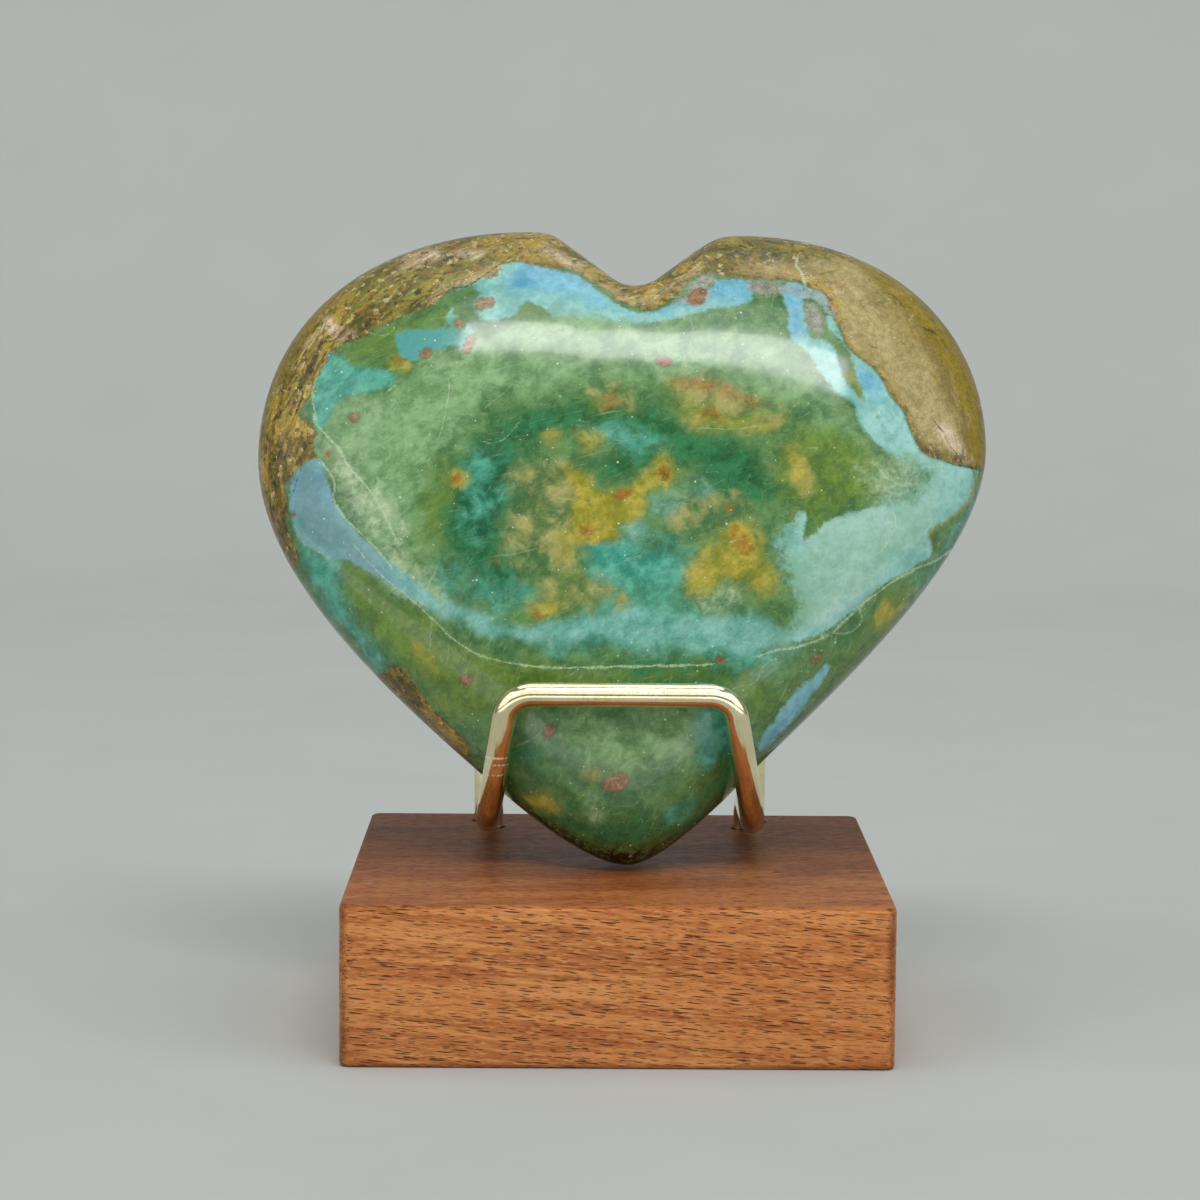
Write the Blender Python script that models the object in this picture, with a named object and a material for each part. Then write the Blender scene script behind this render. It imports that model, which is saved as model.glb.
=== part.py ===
"""A polished heart of Andean blue opal, leaning in a brass wire stand on a wooden block.

The origin is the middle of the block's underside, +Z is up and the heart faces -Y.
"""

import math

import bmesh
import bpy
from mathutils import Matrix, Vector

MM = 0.001
GAP = 0.3 * MM

# Wooden block: a square cut from a planed 19 mm board
BLOCK_SIDE = 64.5 * MM
BLOCK_HEIGHT = 19.1 * MM
BLOCK_CORNER = 1.3 * MM
BLOCK_EDGE = 0.5 * MM
BLOCK_FRONT = -BLOCK_SIDE / 2

# Brass wire and the blind holes it stands in
WIRE_RADIUS = 1.5 * MM
HOLE_RADIUS = WIRE_RADIUS + GAP
HOLE_DEPTH = 12.0 * MM
HOLE_SIDES = 24
WIRE_INSERT = HOLE_DEPTH - GAP

# Front hook, as depths behind the block's front face and heights above its top
HOOK_ROOT_DEPTH = 54.0 * MM
HOOK_RUN_HEIGHT = 4.3 * MM
HOOK_RISE_DEPTH = 36.0 * MM
HOOK_BAR_DEPTH = 18.25 * MM
HOOK_BAR_HEIGHT = 22.15 * MM
HOOK_ROOT_BEND = 4.0 * MM
HOOK_BAR_BEND = 3.4 * MM
HOOK_ROOT_X = (-16.0 * MM, 16.9 * MM)
HOOK_BAR_X = (-13.2 * MM, 13.8 * MM)
# The legs' sweep from level to upright: how far its handles reach, and the share of it used
HOOK_LEVEL_REACH = 0.62
HOOK_UPRIGHT_LEAN = 0.09
HOOK_UPRIGHT_REACH = 0.40
HOOK_SWEEP_STEPS = 16
HOOK_SWEEP_USED = 13

# Rear rest: an upside-down U whose top bar meets the heart's back
REST_DEPTH = 58.85 * MM
REST_X = (-16.95 * MM, 18.25 * MM)
REST_HEIGHT = 54.5 * MM
REST_BEND = 5.0 * MM
BEND_STEPS = 8

# Heart: its own plane leans back, and its outline is drawn in that plane from the tip
HEART_LEAN = math.radians(21.5)
HEART_FOOT_DEPTH = 23.76 * MM
HEART_FOOT_HEIGHT = 1.35 * MM
HEART_HALF_THICKNESS = 12.5 * MM
HEART_FLATNESS = 3.0
HEART_CENTRE = (0.4, 42.0)
HEART_ROUND = (42.0, 37.0)
HEART_BLEND_START = 0.2
# The steps of the dome from the rim in, in degrees: 0 is the rim and 90 the middle
HEART_RINGS = (8, 16, 25, 34, 43, 52, 60, 67.5, 74, 79, 83.5, 87)
# Bezier spans of the outline, counter-clockwise from the tip, in millimetres, with their steps
HEART_OUTLINE = (
    ((1.3, -0.7), (5.9, -0.7), (14.1, 8.6), (19.5, 13.9), 9),
    ((19.5, 13.9), (31.8, 26.1), (46.2, 40.5), (46.2, 52.9), 13),
    ((46.2, 52.9), (46.2, 68.7), (34.5, 80.6), (15.5, 80.6), 15),
    ((15.5, 80.6), (13.3, 80.6), (12.4, 80.2), (10.8, 79.1), 4),
    ((10.8, 79.1), (9.0, 77.8), (6.9, 76.0), (5.1, 74.1), 4),
    ((5.1, 74.1), (3.2, 72.1), (0.9, 72.1), (-1.0, 74.1), 5),
    ((-1.0, 74.1), (-2.9, 76.0), (-4.9, 77.7), (-6.9, 79.3), 4),
    ((-6.9, 79.3), (-8.5, 80.6), (-9.3, 80.9), (-11.3, 80.9), 4),
    ((-11.3, 80.9), (-31.4, 80.9), (-45.2, 69.2), (-45.2, 51.2), 15),
    ((-45.2, 51.2), (-45.2, 36.5), (-29.5, 22.1), (-20.7, 14.1), 13),
    ((-20.7, 14.1), (-12.7, 6.9), (-4.2, -0.7), (1.3, -0.7), 9),
)


def make_material(name, colour, roughness, metallic=0.0):
    """A plain Principled material in one of the part's colours."""
    material = bpy.data.materials.new(name)
    material.use_nodes = True
    shader = material.node_tree.nodes["Principled BSDF"]
    shader.inputs["Base Color"].default_value = (*colour, 1.0)
    shader.inputs["Roughness"].default_value = roughness
    shader.inputs["Metallic"].default_value = metallic
    return material


def add_object(name, data, material):
    """Put a mesh or curve in the scene under its part name."""
    data.materials.append(material)
    item = bpy.data.objects.new(name, data)
    bpy.context.collection.objects.link(item)
    return item


def stand_point(x, depth, height):
    """A point given behind the block's front face and above its top."""
    return Vector((x, BLOCK_FRONT + depth, BLOCK_HEIGHT + height))


def bezier(a, b, c, d, t):
    """One point of a cubic Bezier span."""
    s = 1.0 - t
    return a * s**3 + b * (3 * s * s * t) + c * (3 * s * t * t) + d * t**3


def rounded_corner(before, corner, after, radius, steps):
    """Points of the arc that rounds the corner between two straight runs."""
    to_before = (before - corner).normalized()
    to_after = (after - corner).normalized()
    half = to_before.angle(to_after) / 2
    reach = radius / math.tan(half)
    middle = corner + (to_before + to_after).normalized() * (radius / math.sin(half))
    start = corner + to_before * reach - middle
    finish = corner + to_after * reach - middle
    return [middle + start.slerp(finish, i / steps) * radius for i in range(steps + 1)]


def wire_object(name, points, material):
    """A round wire along a list of points, closed at both ends."""
    curve = bpy.data.curves.new(name, "CURVE")
    curve.dimensions = "3D"
    curve.bevel_depth = WIRE_RADIUS
    curve.bevel_resolution = 4
    curve.use_fill_caps = True
    spline = curve.splines.new("POLY")
    spline.points.add(len(points) - 1)
    for slot, point in zip(spline.points, points):
        slot.co = (*point, 1.0)
    return add_object(name, curve, material)


def hook_leg(side):
    """One leg of the hook, from the bottom of its hole to just below the bar's bend."""
    root_x = HOOK_ROOT_X[side]
    bar_x = HOOK_BAR_X[side]
    bottom = stand_point(root_x, HOOK_ROOT_DEPTH, -WIRE_INSERT)
    corner = stand_point(root_x, HOOK_ROOT_DEPTH, HOOK_RUN_HEIGHT)
    rise = stand_point(root_x, HOOK_RISE_DEPTH, HOOK_RUN_HEIGHT)
    points = [bottom, stand_point(root_x, HOOK_ROOT_DEPTH, -WIRE_INSERT / 2)]
    points += rounded_corner(bottom, corner, rise, HOOK_ROOT_BEND, BEND_STEPS)
    points.append(stand_point(root_x, (HOOK_ROOT_DEPTH + HOOK_RISE_DEPTH) / 2, HOOK_RUN_HEIGHT))

    # The leg sweeps up from level to nearly upright, and leans in towards the bar as it climbs
    run = HOOK_RISE_DEPTH - HOOK_BAR_DEPTH
    climb = HOOK_BAR_HEIGHT - HOOK_RUN_HEIGHT
    a = Vector((HOOK_RISE_DEPTH, HOOK_RUN_HEIGHT))
    b = a - Vector((HOOK_LEVEL_REACH * run, 0.0))
    d = Vector((HOOK_BAR_DEPTH, HOOK_BAR_HEIGHT))
    c = Vector((HOOK_BAR_DEPTH + HOOK_UPRIGHT_LEAN * run, HOOK_RUN_HEIGHT + HOOK_UPRIGHT_REACH * climb))
    for i in range(HOOK_SWEEP_USED):
        depth, height = bezier(a, b, c, d, i / HOOK_SWEEP_STEPS)
        x = root_x + (bar_x - root_x) * (height - HOOK_RUN_HEIGHT) / climb
        points.append(stand_point(x, depth, height))
    return points


def make_hook(material):
    """The front hook: two legs that reach forward under the heart and one bar across it."""
    legs = [hook_leg(side) for side in (0, 1)]
    corners = [stand_point(x, HOOK_BAR_DEPTH, HOOK_BAR_HEIGHT) for x in HOOK_BAR_X]
    points = list(legs[0])
    points += rounded_corner(legs[0][-1], corners[0], corners[1], HOOK_BAR_BEND, BEND_STEPS)
    points += rounded_corner(corners[0], corners[1], legs[1][-1], HOOK_BAR_BEND, BEND_STEPS)
    points += reversed(legs[1])
    return wire_object("front_hook", points, material)


def make_rest(material):
    """The rear rest: two upright posts and the bar that the heart's back leans on."""
    feet = [stand_point(x, REST_DEPTH, -WIRE_INSERT) for x in REST_X]
    tops = [stand_point(x, REST_DEPTH, REST_HEIGHT) for x in REST_X]
    points = [feet[0]]
    points += rounded_corner(feet[0], tops[0], tops[1], REST_BEND, BEND_STEPS)
    points += rounded_corner(tops[0], tops[1], feet[1], REST_BEND, BEND_STEPS)
    points.append(feet[1])
    return wire_object("rear_rest", points, material)


def make_block(material):
    """The wooden block, with rounded edges and four blind holes for the wires."""
    mesh = bpy.data.meshes.new("wood_block")
    shape = bmesh.new()
    size = Matrix.Diagonal((BLOCK_SIDE, BLOCK_SIDE, BLOCK_HEIGHT, 1.0))
    place = Matrix.Translation((0, 0, BLOCK_HEIGHT / 2))
    bmesh.ops.create_cube(shape, size=1.0, matrix=place @ size)
    upright = [e for e in shape.edges if abs((e.verts[0].co - e.verts[1].co).z) > BLOCK_HEIGHT / 2]
    bmesh.ops.bevel(shape, geom=upright, offset=BLOCK_CORNER, segments=4, profile=0.5, affect="EDGES")
    level = [e for e in shape.edges if abs((e.verts[0].co - e.verts[1].co).z) < GAP]
    bmesh.ops.bevel(shape, geom=level, offset=BLOCK_EDGE, segments=2, profile=0.5, affect="EDGES")
    shape.to_mesh(mesh)
    shape.free()
    block = add_object("wood_block", mesh, material)

    places = [(x, HOOK_ROOT_DEPTH) for x in HOOK_ROOT_X]
    places += [(x, REST_DEPTH) for x in REST_X]
    for index, (x, depth) in enumerate(places):
        drill_mesh = bpy.data.meshes.new(f"drill_{index}")
        drill = bmesh.new()
        middle = stand_point(x, depth, 0.0)
        bmesh.ops.create_cone(
            drill,
            cap_ends=True,
            segments=HOLE_SIDES,
            radius1=HOLE_RADIUS,
            radius2=HOLE_RADIUS,
            depth=HOLE_DEPTH * 2,
            matrix=Matrix.Translation(middle),
        )
        drill.to_mesh(drill_mesh)
        drill.free()
        cutter = add_object(f"drill_{index}", drill_mesh, material)
        cutter.hide_render = True
        cutter.display_type = "WIRE"
        hole = block.modifiers.new(f"hole_{index}", "BOOLEAN")
        hole.operation = "DIFFERENCE"
        hole.solver = "EXACT"
        hole.object = cutter
    return block


def heart_outline():
    """The closed outline in the heart's plane, in millimetres."""
    points = []
    for a, b, c, d, steps in HEART_OUTLINE:
        spans = [Vector(p) for p in (a, b, c, d)]
        points += [bezier(*spans, i / steps) for i in range(steps)]
    return points


def heart_ring(outline, share):
    """The outline drawn in towards the middle: towards a plain round as it nears it."""
    centre = Vector(HEART_CENTRE)
    blend = min(1.0, max(0.0, (share - HEART_BLEND_START) / (1.0 - HEART_BLEND_START)))
    blend = blend * blend * (3.0 - 2.0 * blend)
    ring = []
    for point in outline:
        arm = point - centre
        unit = arm.normalized()
        reach = 1.0 / math.hypot(unit.x / HEART_ROUND[0], unit.y / HEART_ROUND[1])
        ring.append(centre + (arm * blend + unit * (reach * (1.0 - blend))) * share)
    return ring


def make_heart(material):
    """The opal heart: two domes that meet in a rounded rim, leaning back in its stand."""
    outline = heart_outline()
    count = len(outline)
    shape = bmesh.new()
    rim = [shape.verts.new((p.x, p.y, 0.0)) for p in outline]
    half = HEART_HALF_THICKNESS / MM
    for face in (1, -1):
        outer = rim
        for angle in HEART_RINGS:
            turn = math.radians(angle)
            share = math.cos(turn) ** (2.0 / HEART_FLATNESS)
            height = face * half * math.sin(turn)
            inner = [shape.verts.new((p.x, p.y, height)) for p in heart_ring(outline, share)]
            for i in range(count):
                j = (i + 1) % count
                corners = (outer[i], outer[j], inner[j], inner[i])
                shape.faces.new(corners if face > 0 else corners[::-1])
            outer = inner
        middle = shape.verts.new((*HEART_CENTRE, face * half))
        for i in range(count):
            corners = (outer[i], outer[(i + 1) % count], middle)
            shape.faces.new(corners if face > 0 else corners[::-1])

    # The heart's plane: x stays x, its up leans back, and its face looks to the front and up
    upright = Matrix.Rotation(math.radians(90) - HEART_LEAN, 4, "X")
    foot = stand_point(0.0, HEART_FOOT_DEPTH, HEART_FOOT_HEIGHT)
    shape.transform(Matrix.Translation(foot) @ upright @ Matrix.Scale(MM, 4))
    mesh = bpy.data.meshes.new("opal_heart")
    shape.to_mesh(mesh)
    shape.free()
    mesh.shade_smooth()
    return add_object("opal_heart", mesh, material)


def main():
    for item in list(bpy.data.objects):
        bpy.data.objects.remove(item, do_unlink=True)
    opal = make_material("opal", (0.16, 0.36, 0.20), 0.15)
    brass = make_material("brass", (0.83, 0.66, 0.35), 0.18, 1.0)
    wood = make_material("mahogany", (0.33, 0.14, 0.07), 0.55)
    make_block(wood)
    make_hook(brass)
    make_rest(brass)
    make_heart(opal)


main()
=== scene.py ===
import math

import bpy
import numpy as np
from mathutils import Matrix, Vector


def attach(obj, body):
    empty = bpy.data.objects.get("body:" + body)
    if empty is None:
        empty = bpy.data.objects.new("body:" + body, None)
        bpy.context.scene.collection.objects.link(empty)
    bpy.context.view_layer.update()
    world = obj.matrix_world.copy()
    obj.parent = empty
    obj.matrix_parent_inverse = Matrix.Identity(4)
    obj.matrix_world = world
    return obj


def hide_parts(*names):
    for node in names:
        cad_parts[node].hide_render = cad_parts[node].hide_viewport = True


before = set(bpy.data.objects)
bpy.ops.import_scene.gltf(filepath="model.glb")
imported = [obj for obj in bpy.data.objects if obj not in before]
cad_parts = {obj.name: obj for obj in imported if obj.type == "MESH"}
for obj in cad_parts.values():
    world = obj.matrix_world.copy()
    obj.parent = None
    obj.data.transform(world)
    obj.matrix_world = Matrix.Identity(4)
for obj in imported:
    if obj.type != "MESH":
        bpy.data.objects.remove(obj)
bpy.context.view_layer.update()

bl_info = {
    "name": "Opal Heart on a Wire Easel",
    "version": (1, 0, 0),
    "blender": (4, 5, 0),
    "location": "3D View > Sidebar > Opal Heart",
    "description": "Builds and dresses a polished opal heart, its brass easel and its wooden block",
    "category": "Object",
}

MM = 0.001

# The front view. The stone's markings are drawn on a sheet of 1200 units square as seen from here.
EYE = np.array((-3.9635, -436.0825, 97.787)) * MM
EYE_YAW, EYE_PITCH, EYE_ROLL = 0.0040, 0.10646, 0.0072
SHEET = 1200.0
SHEET_REACH = 3558.782
SENSOR = 36.0

# The block, in millimetres
BLOCK_SIDE = 64.5
BLOCK_HEIGHT = 19.1
BLOCK_FRONT = -BLOCK_SIDE / 2

# Heart, in the plane that leans back: x to the right, y up from the tip, z towards the front
HEART_LEAN = math.radians(21.5)
HEART_FOOT = np.array((0.0, BLOCK_FRONT + 23.76, BLOCK_HEIGHT + 1.35))
HEART_HALF_THICKNESS = 12.5
HEART_FLATNESS = 3.0
HEART_CENTRE = np.array((0.4, 42.0))
HEART_ROUND = np.array((42.0, 37.0))
HEART_BLEND_START = 0.2
HEART_OUTLINE = (
    ((1.3, -0.7), (5.9, -0.7), (14.1, 8.6), (19.5, 13.9)),
    ((19.5, 13.9), (31.8, 26.1), (46.2, 40.5), (46.2, 52.9)),
    ((46.2, 52.9), (46.2, 68.7), (34.5, 80.6), (15.5, 80.6)),
    ((15.5, 80.6), (13.3, 80.6), (12.4, 80.2), (10.8, 79.1)),
    ((10.8, 79.1), (9.0, 77.8), (6.9, 76.0), (5.1, 74.1)),
    ((5.1, 74.1), (3.2, 72.1), (0.9, 72.1), (-1.0, 74.1)),
    ((-1.0, 74.1), (-2.9, 76.0), (-4.9, 77.7), (-6.9, 79.3)),
    ((-6.9, 79.3), (-8.5, 80.6), (-9.3, 80.9), (-11.3, 80.9)),
    ((-11.3, 80.9), (-31.4, 80.9), (-45.2, 69.2), (-45.2, 51.2)),
    ((-45.2, 51.2), (-45.2, 36.5), (-29.5, 22.1), (-20.7, 14.1)),
    ((-20.7, 14.1), (-12.7, 6.9), (-4.2, -0.7), (1.3, -0.7)),
)
# Inside the rim the dome bridges the notch, so that the notch has steep, narrow walls
NOTCH_SPAN = (-11.3, 15.5)
NOTCH_TOP = 80.7
NOTCH_START = 0.65
RIM_POINTS = 576
FRONT_RINGS = 130
BACK_RINGS = 66
OUTLINE_STEPS = 48
DOME_STEPS = 2000
RING_HALVINGS = 6

# Brass wire, in millimetres: depths are behind the block's front face, heights above its top. The reaches
# and the lean shape each leg's sweep, as shares of its run and its climb.
WIRE_RADIUS = 1.5
WIRE_INSERT = 11.7
HOOK_ROOT_DEPTH = 54.0
HOOK_RUN_HEIGHT = 4.3
HOOK_RISE_DEPTH = 36.0
HOOK_BAR_DEPTH = 18.25
HOOK_BAR_HEIGHT = 22.15
HOOK_ROOT_BEND = 4.0
HOOK_BAR_BEND = 3.4
HOOK_ROOT_X = (-16.0, 16.9)
HOOK_BAR_X = (-13.2, 13.8)
HOOK_LEVEL_REACH = 0.62
HOOK_UPRIGHT_LEAN = 0.09
HOOK_UPRIGHT_REACH = 0.40
HOOK_SWEEP_STEPS = 16
HOOK_SWEEP_USED = 13
REST_DEPTH = 58.85
REST_X = (-16.95, 18.25)
REST_HEIGHT = 54.5
REST_BEND = 5.0
BEND_STEPS = 16
WIRE_END_ANGLE = math.radians(50)
WIRES = ("front_hook_fine", "rear_rest_fine")
# Bright nicks round the front of the left leg, painted near-white as glints: heights above the block's foot,
# and the x and y beyond which they lie
NICK_HEIGHTS = (33.4, 32.5, 31.2)
NICK_SIDE = -10.0
NICK_DEPTH = -12.0

# How the markings are laid on the stone. Reaches and the lines' fade are in units of the sheet, and steps
# are how many stretches a curve has between two of its points.
CRISP_REACH = 8.0
LINE_REACH = 8.0
LINE_FADE = 6.0
CLOUD_SOFTNESS = 1.3
CRISP_STEPS = 4
CLOUD_STEPS = 3
LINE_STEPS = 4
ELLIPSE_POINTS = 10
TINY = 1e-12
# The back takes a turned and stirred copy of the front, from this depth in millimetres behind the rim on
BACK_BLEND = 8.0
BACK_TURN = math.radians(35)
BACK_PIVOT = (620.0, 520.0)
BACK_STIR = 60.0
BACK_LUMP = 22.0
BACK_SEEDS = (40, 50)
# How far edges wander, in units of the sheet, over lumps of so many millimetres
JOG_LUMP = 1.6
JOG_REACH = 1.6
JOG_SEEDS = (1, 11)
LOOSE_LUMP = 5.5
LOOSE_REACH = 9.0
LOOSE_JOG = 2.5
LOOSE_SEEDS = (21, 31)
# Lattice noise: how many values a side has before it repeats, and how many layers are added up
LATTICE_SIDE = 32
NOISE_LAYERS = 3
# How far the matrix is drawn out along the outline, and how fast it changes across the heart
FLOW_LENGTH = 14.0
FLOW_DRIFT = 0.3

# Wood: the grain's slant, and for each kind of pore its stretch, cell size, how rare and its radius in cells
GRAIN_SLANT = (0.2, 0.08, 0.03)
PORE_LENGTH = 2.2 * MM
PORES = ((0.07, 0.33, 0.15, 0.24), (0.10, 0.20, 0.30, 0.26))

# Stage: the paper sweep, in metres
BACKDROP_DEPTH = 0.75
BACKDROP_BEND = 0.3
BACKDROP_STEPS = 12
PAPER_SHADES = ((180, 184, 182), (188, 191, 188))
PAPER_NOISE = (40.0, 2.0)
PAPER_ROUGHNESS = 0.9
AIR_TINT = (190, 194, 190)
WORLD_LEVEL = 0.46
# Each card's name and radiance, then its size, direction, distance and turn. The directions, in degrees
# round and up, are seen from the stone's middle, which is given in millimetres.
STONE_MIDDLE = (0.0, 0.0, 60.0)
KEY_CARD = ((0.94, 0.19), (8.5, 58.0), 1.5, -17.0)
# A card with no distance lies on the floor, facing up, with its middle at the place given
CARDS = (
    ("fade_card", 1.8, (0.94, 0.24), (8.5, 66.5), 1.5, -17.0),
    ("floor_card", 1.1, (1.6, 0.76), (0.0, -0.52, 0.002), None, 0.0),
    ("top_card", 1.3, (1.6, 0.9), (0.0, 98.0), 1.5, 0.0),
    ("left_card", 1.1, (1.4, 1.4), (-66.0, 26.0), 1.6, 0.0),
    ("right_card", 1.1, (1.4, 1.4), (66.0, 26.0), 1.6, 0.0),
)
# Cards that only the brass sees
BRASS_CARDS = (("brass_front_card", 1.0, (2.2, 1.2), (0.0, 38.0), 1.3, 0.0),)


def eye_axes():
    """The front view's own directions: ahead, right and up."""
    cp, sp = math.cos(EYE_PITCH), math.sin(EYE_PITCH)
    cy, sy = math.cos(EYE_YAW), math.sin(EYE_YAW)
    ahead = np.array((sy * cp, cy * cp, -sp))
    level = np.array((cy, -sy, 0.0))
    raised = np.cross(level, ahead)
    cr, sr = math.cos(EYE_ROLL), math.sin(EYE_ROLL)
    return ahead, cr * level + sr * raised, cr * raised - sr * level


def on_sheet(points):
    """Where points in metres are seen on the sheet."""
    ahead, right, up = eye_axes()
    arm = points - EYE
    depth = arm @ ahead
    half = SHEET / 2
    return half + SHEET_REACH * (arm @ right) / depth, half - SHEET_REACH * (arm @ up) / depth


def eased(share):
    """A share from 0 to 1 that starts and ends gently."""
    return share * share * (3.0 - 2.0 * share)


def bezier(a, b, c, d, t):
    """A point of a cubic curve."""
    s = 1.0 - t
    return a * s**3 + b * (3 * s * s * t) + c * (3 * s * t * t) + d * t**3


def lattice_noise(points, size, seed):
    """Smooth noise from -1 to 1 whose lumps are about size across."""
    table = np.random.default_rng(seed).uniform(-1.0, 1.0, (LATTICE_SIDE,) * 3)
    place = points / size
    cell = np.floor(place).astype(int)
    part = eased(place - cell)
    total = 0.0
    for dx in (0, 1):
        for dy in (0, 1):
            for dz in (0, 1):
                corner = (cell + (dx, dy, dz)) % LATTICE_SIDE
                share = np.ones(len(points))
                for axis, step in enumerate((dx, dy, dz)):
                    share = share * (part[:, axis] if step else 1.0 - part[:, axis])
                total = total + share * table[corner[:, 0], corner[:, 1], corner[:, 2]]
    return total


def lumpy_noise(points, size, seed):
    """Several layers of lattice noise, each half the size and strength of the last."""
    total = 0.0
    for layer in range(NOISE_LAYERS):
        total = total + lattice_noise(points, size / 2**layer, seed + layer) / 2**layer
    return total / (2.0 - 2.0 ** (1 - NOISE_LAYERS))


def smooth_curve(points, closed, steps):
    """A Catmull-Rom curve through the points."""
    p = np.array(points, float)
    if not closed:
        p = np.vstack((2 * p[0] - p[1], p, 2 * p[-1] - p[-2]))
    before, after, last = np.roll(p, 1, 0), np.roll(p, -1, 0), np.roll(p, -2, 0)
    out = []
    for i in range(0 if closed else 1, len(p) if closed else len(p) - 2):
        a, b, c, d = before[i], p[i], after[i], last[i]
        for t in np.arange(steps) / steps:
            bend = (2 * a - 5 * b + 4 * c - d) * t**2 + (3 * b - a - 3 * c + d) * t**3
            out.append(0.5 * (2 * b + (c - a) * t + bend))
    if not closed:
        out.append(p[-2])
    return np.array(out)


def spots_near(x, y, curve, reach):
    """Which points lie within reach of a curve's bounds."""
    low, high = curve.min(0) - reach, curve.max(0) + reach
    return np.flatnonzero((x > low[0]) & (x < high[0]) & (y > low[1]) & (y < high[1]))


def from_stretch(x, y, start, end):
    """Offsets of points from the nearest place on a straight stretch."""
    ex, ey = end - start
    along = np.clip(((x - start[0]) * ex + (y - start[1]) * ey) / (ex * ex + ey * ey + TINY), 0, 1)
    return x - start[0] - along * ex, y - start[1] - along * ey


def loop_depth(x, y, loop, reach):
    """Signed distance inside a closed loop, worked out only within reach of it."""
    depth = np.full(x.shape, -reach)
    near = spots_near(x, y, loop, reach)
    if not len(near):
        return depth
    px, py = x[near], y[near]
    best = np.full(px.shape, np.inf)
    inside = np.zeros(px.shape, bool)
    for start, end in zip(loop, np.roll(loop, -1, 0)):
        dx, dy = from_stretch(px, py, start, end)
        best = np.minimum(best, dx**2 + dy**2)
        (ax, ay), (bx, by) = start, end
        if ay != by:
            inside ^= ((ay > py) != (by > py)) & (px < (bx - ax) * (py - ay) / (by - ay) + ax)
    away = np.sqrt(best)
    depth[near] = np.maximum(np.where(inside, away, -away), -reach)
    return depth


def ellipse(x, y, wide, tall, turn=0.0):
    """Points of an ellipse, turned clockwise on the sheet by degrees."""
    t = math.radians(turn)
    out = []
    for k in range(ELLIPSE_POINTS):
        a = math.tau * k / ELLIPSE_POINTS
        u, v = wide * math.cos(a), tall * math.sin(a)
        out.append((x + u * math.cos(t) - v * math.sin(t), y + u * math.sin(t) + v * math.cos(t)))
    return out


# Markings of the stone, as closed loops on the sheet. Crisp ones follow the sharp seams in the stone.
SKY = (
    (
        (455, 288), (478, 276), (502, 265), (521, 262), (557, 271), (580, 277), (599, 292), (620, 306),
        (636, 312), (655, 311), (672, 303), (690, 297), (709, 289), (716, 281), (735, 280), (750, 283),
        (753, 293), (745, 304), (715, 308), (700, 312), (676, 319), (650, 323), (620, 323), (590, 319),
        (557, 317), (545, 309), (530, 302), (520, 306), (512, 316), (486, 322), (476, 314), (462, 318),
        (455, 327), (447, 322), (452, 308), (466, 303), (462, 296),
    ),
    (
        (396, 334), (415, 330), (452, 327), (466, 322), (474, 330), (466, 350), (456, 344), (446, 347),
        (430, 352), (415, 360), (403, 356), (397, 346),
    ),
    (
        (780, 286), (801, 284), (803, 300), (804, 318), (812, 338), (824, 340), (833, 346), (838, 362),
        (845, 380), (857, 394), (870, 407), (880, 420), (893, 440), (905, 452), (921, 454), (942, 461),
        (962, 467), (974, 471), (972, 488), (966, 502), (950, 518), (929, 532), (931, 552), (916, 566),
        (883, 584), (863, 602), (845, 618), (820, 634), (794, 641), (768, 636), (744, 634), (766, 621),
        (783, 613), (775, 597), (773, 569), (766, 549), (762, 518), (766, 505), (778, 523), (792, 521),
        (798, 512), (806, 515), (804, 540), (825, 523), (846, 513), (870, 508), (888, 490), (896, 466),
        (893, 457), (870, 437), (858, 419), (852, 401), (837, 393), (822, 375), (812, 358), (801, 345),
        (791, 337), (788, 314), (785, 298),
    ),
    (
        (812, 289), (826, 297), (831, 314), (840, 332), (849, 350), (868, 365), (878, 375), (888, 393),
        (902, 411), (909, 431), (921, 453), (905, 456), (893, 441), (880, 421), (868, 404), (863, 393),
        (857, 377), (852, 360), (845, 345), (836, 336), (828, 326), (826, 310), (815, 300), (800, 296),
    ),
    (
        (304, 464), (313, 459), (322, 463), (326, 478), (332, 497), (343, 514), (358, 533), (375, 549),
        (400, 569), (425, 589), (438, 603), (430, 612), (412, 600), (390, 585), (365, 570), (345, 560),
        (330, 560), (318, 552), (305, 545), (297, 536), (291, 515), (289, 498), (292, 478),
    ),
    (
        (758, 749), (762, 735), (774, 722), (785, 704), (800, 688), (815, 676), (826, 664), (830, 668),
        (820, 684), (808, 701), (792, 721), (776, 738), (765, 750),
    ),
)
MATRIX = (
    (
        (636, 307), (625, 303), (612, 295), (600, 287), (588, 279), (576, 271), (557, 268), (530, 263),
        (515, 262), (502, 265), (497, 275), (478, 280), (455, 288), (440, 299), (429, 307), (410, 313),
        (396, 320), (380, 327), (366, 337), (350, 341), (336, 347), (328, 356), (321, 371), (313, 380),
        (311, 394), (303, 405), (300, 416), (312, 424), (316, 432), (313, 446), (316, 457), (302, 464),
        (292, 474), (284, 484), (287, 500), (286, 520), (292, 540), (298, 558), (286, 572), (230, 520),
        (225, 400), (260, 290), (330, 215), (450, 190), (560, 190), (605, 245), (638, 288),
    ),
    (
        (638, 307), (655, 309), (671, 298), (684, 287), (695, 275), (714, 273), (732, 276), (750, 278),
        (780, 280), (800, 282), (815, 287), (826, 295), (832, 312), (841, 331), (850, 349), (869, 364),
        (880, 374), (890, 392), (903, 410), (911, 430), (922, 451), (942, 459), (962, 465), (986, 469),
        (1015, 470), (1015, 350), (950, 240), (820, 195), (700, 205), (650, 265), (638, 288),
    ),
    (
        (371, 688), (385, 672), (400, 668), (412, 680), (430, 706), (452, 728), (470, 752), (440, 760),
        (390, 715),
    ),
)
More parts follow.
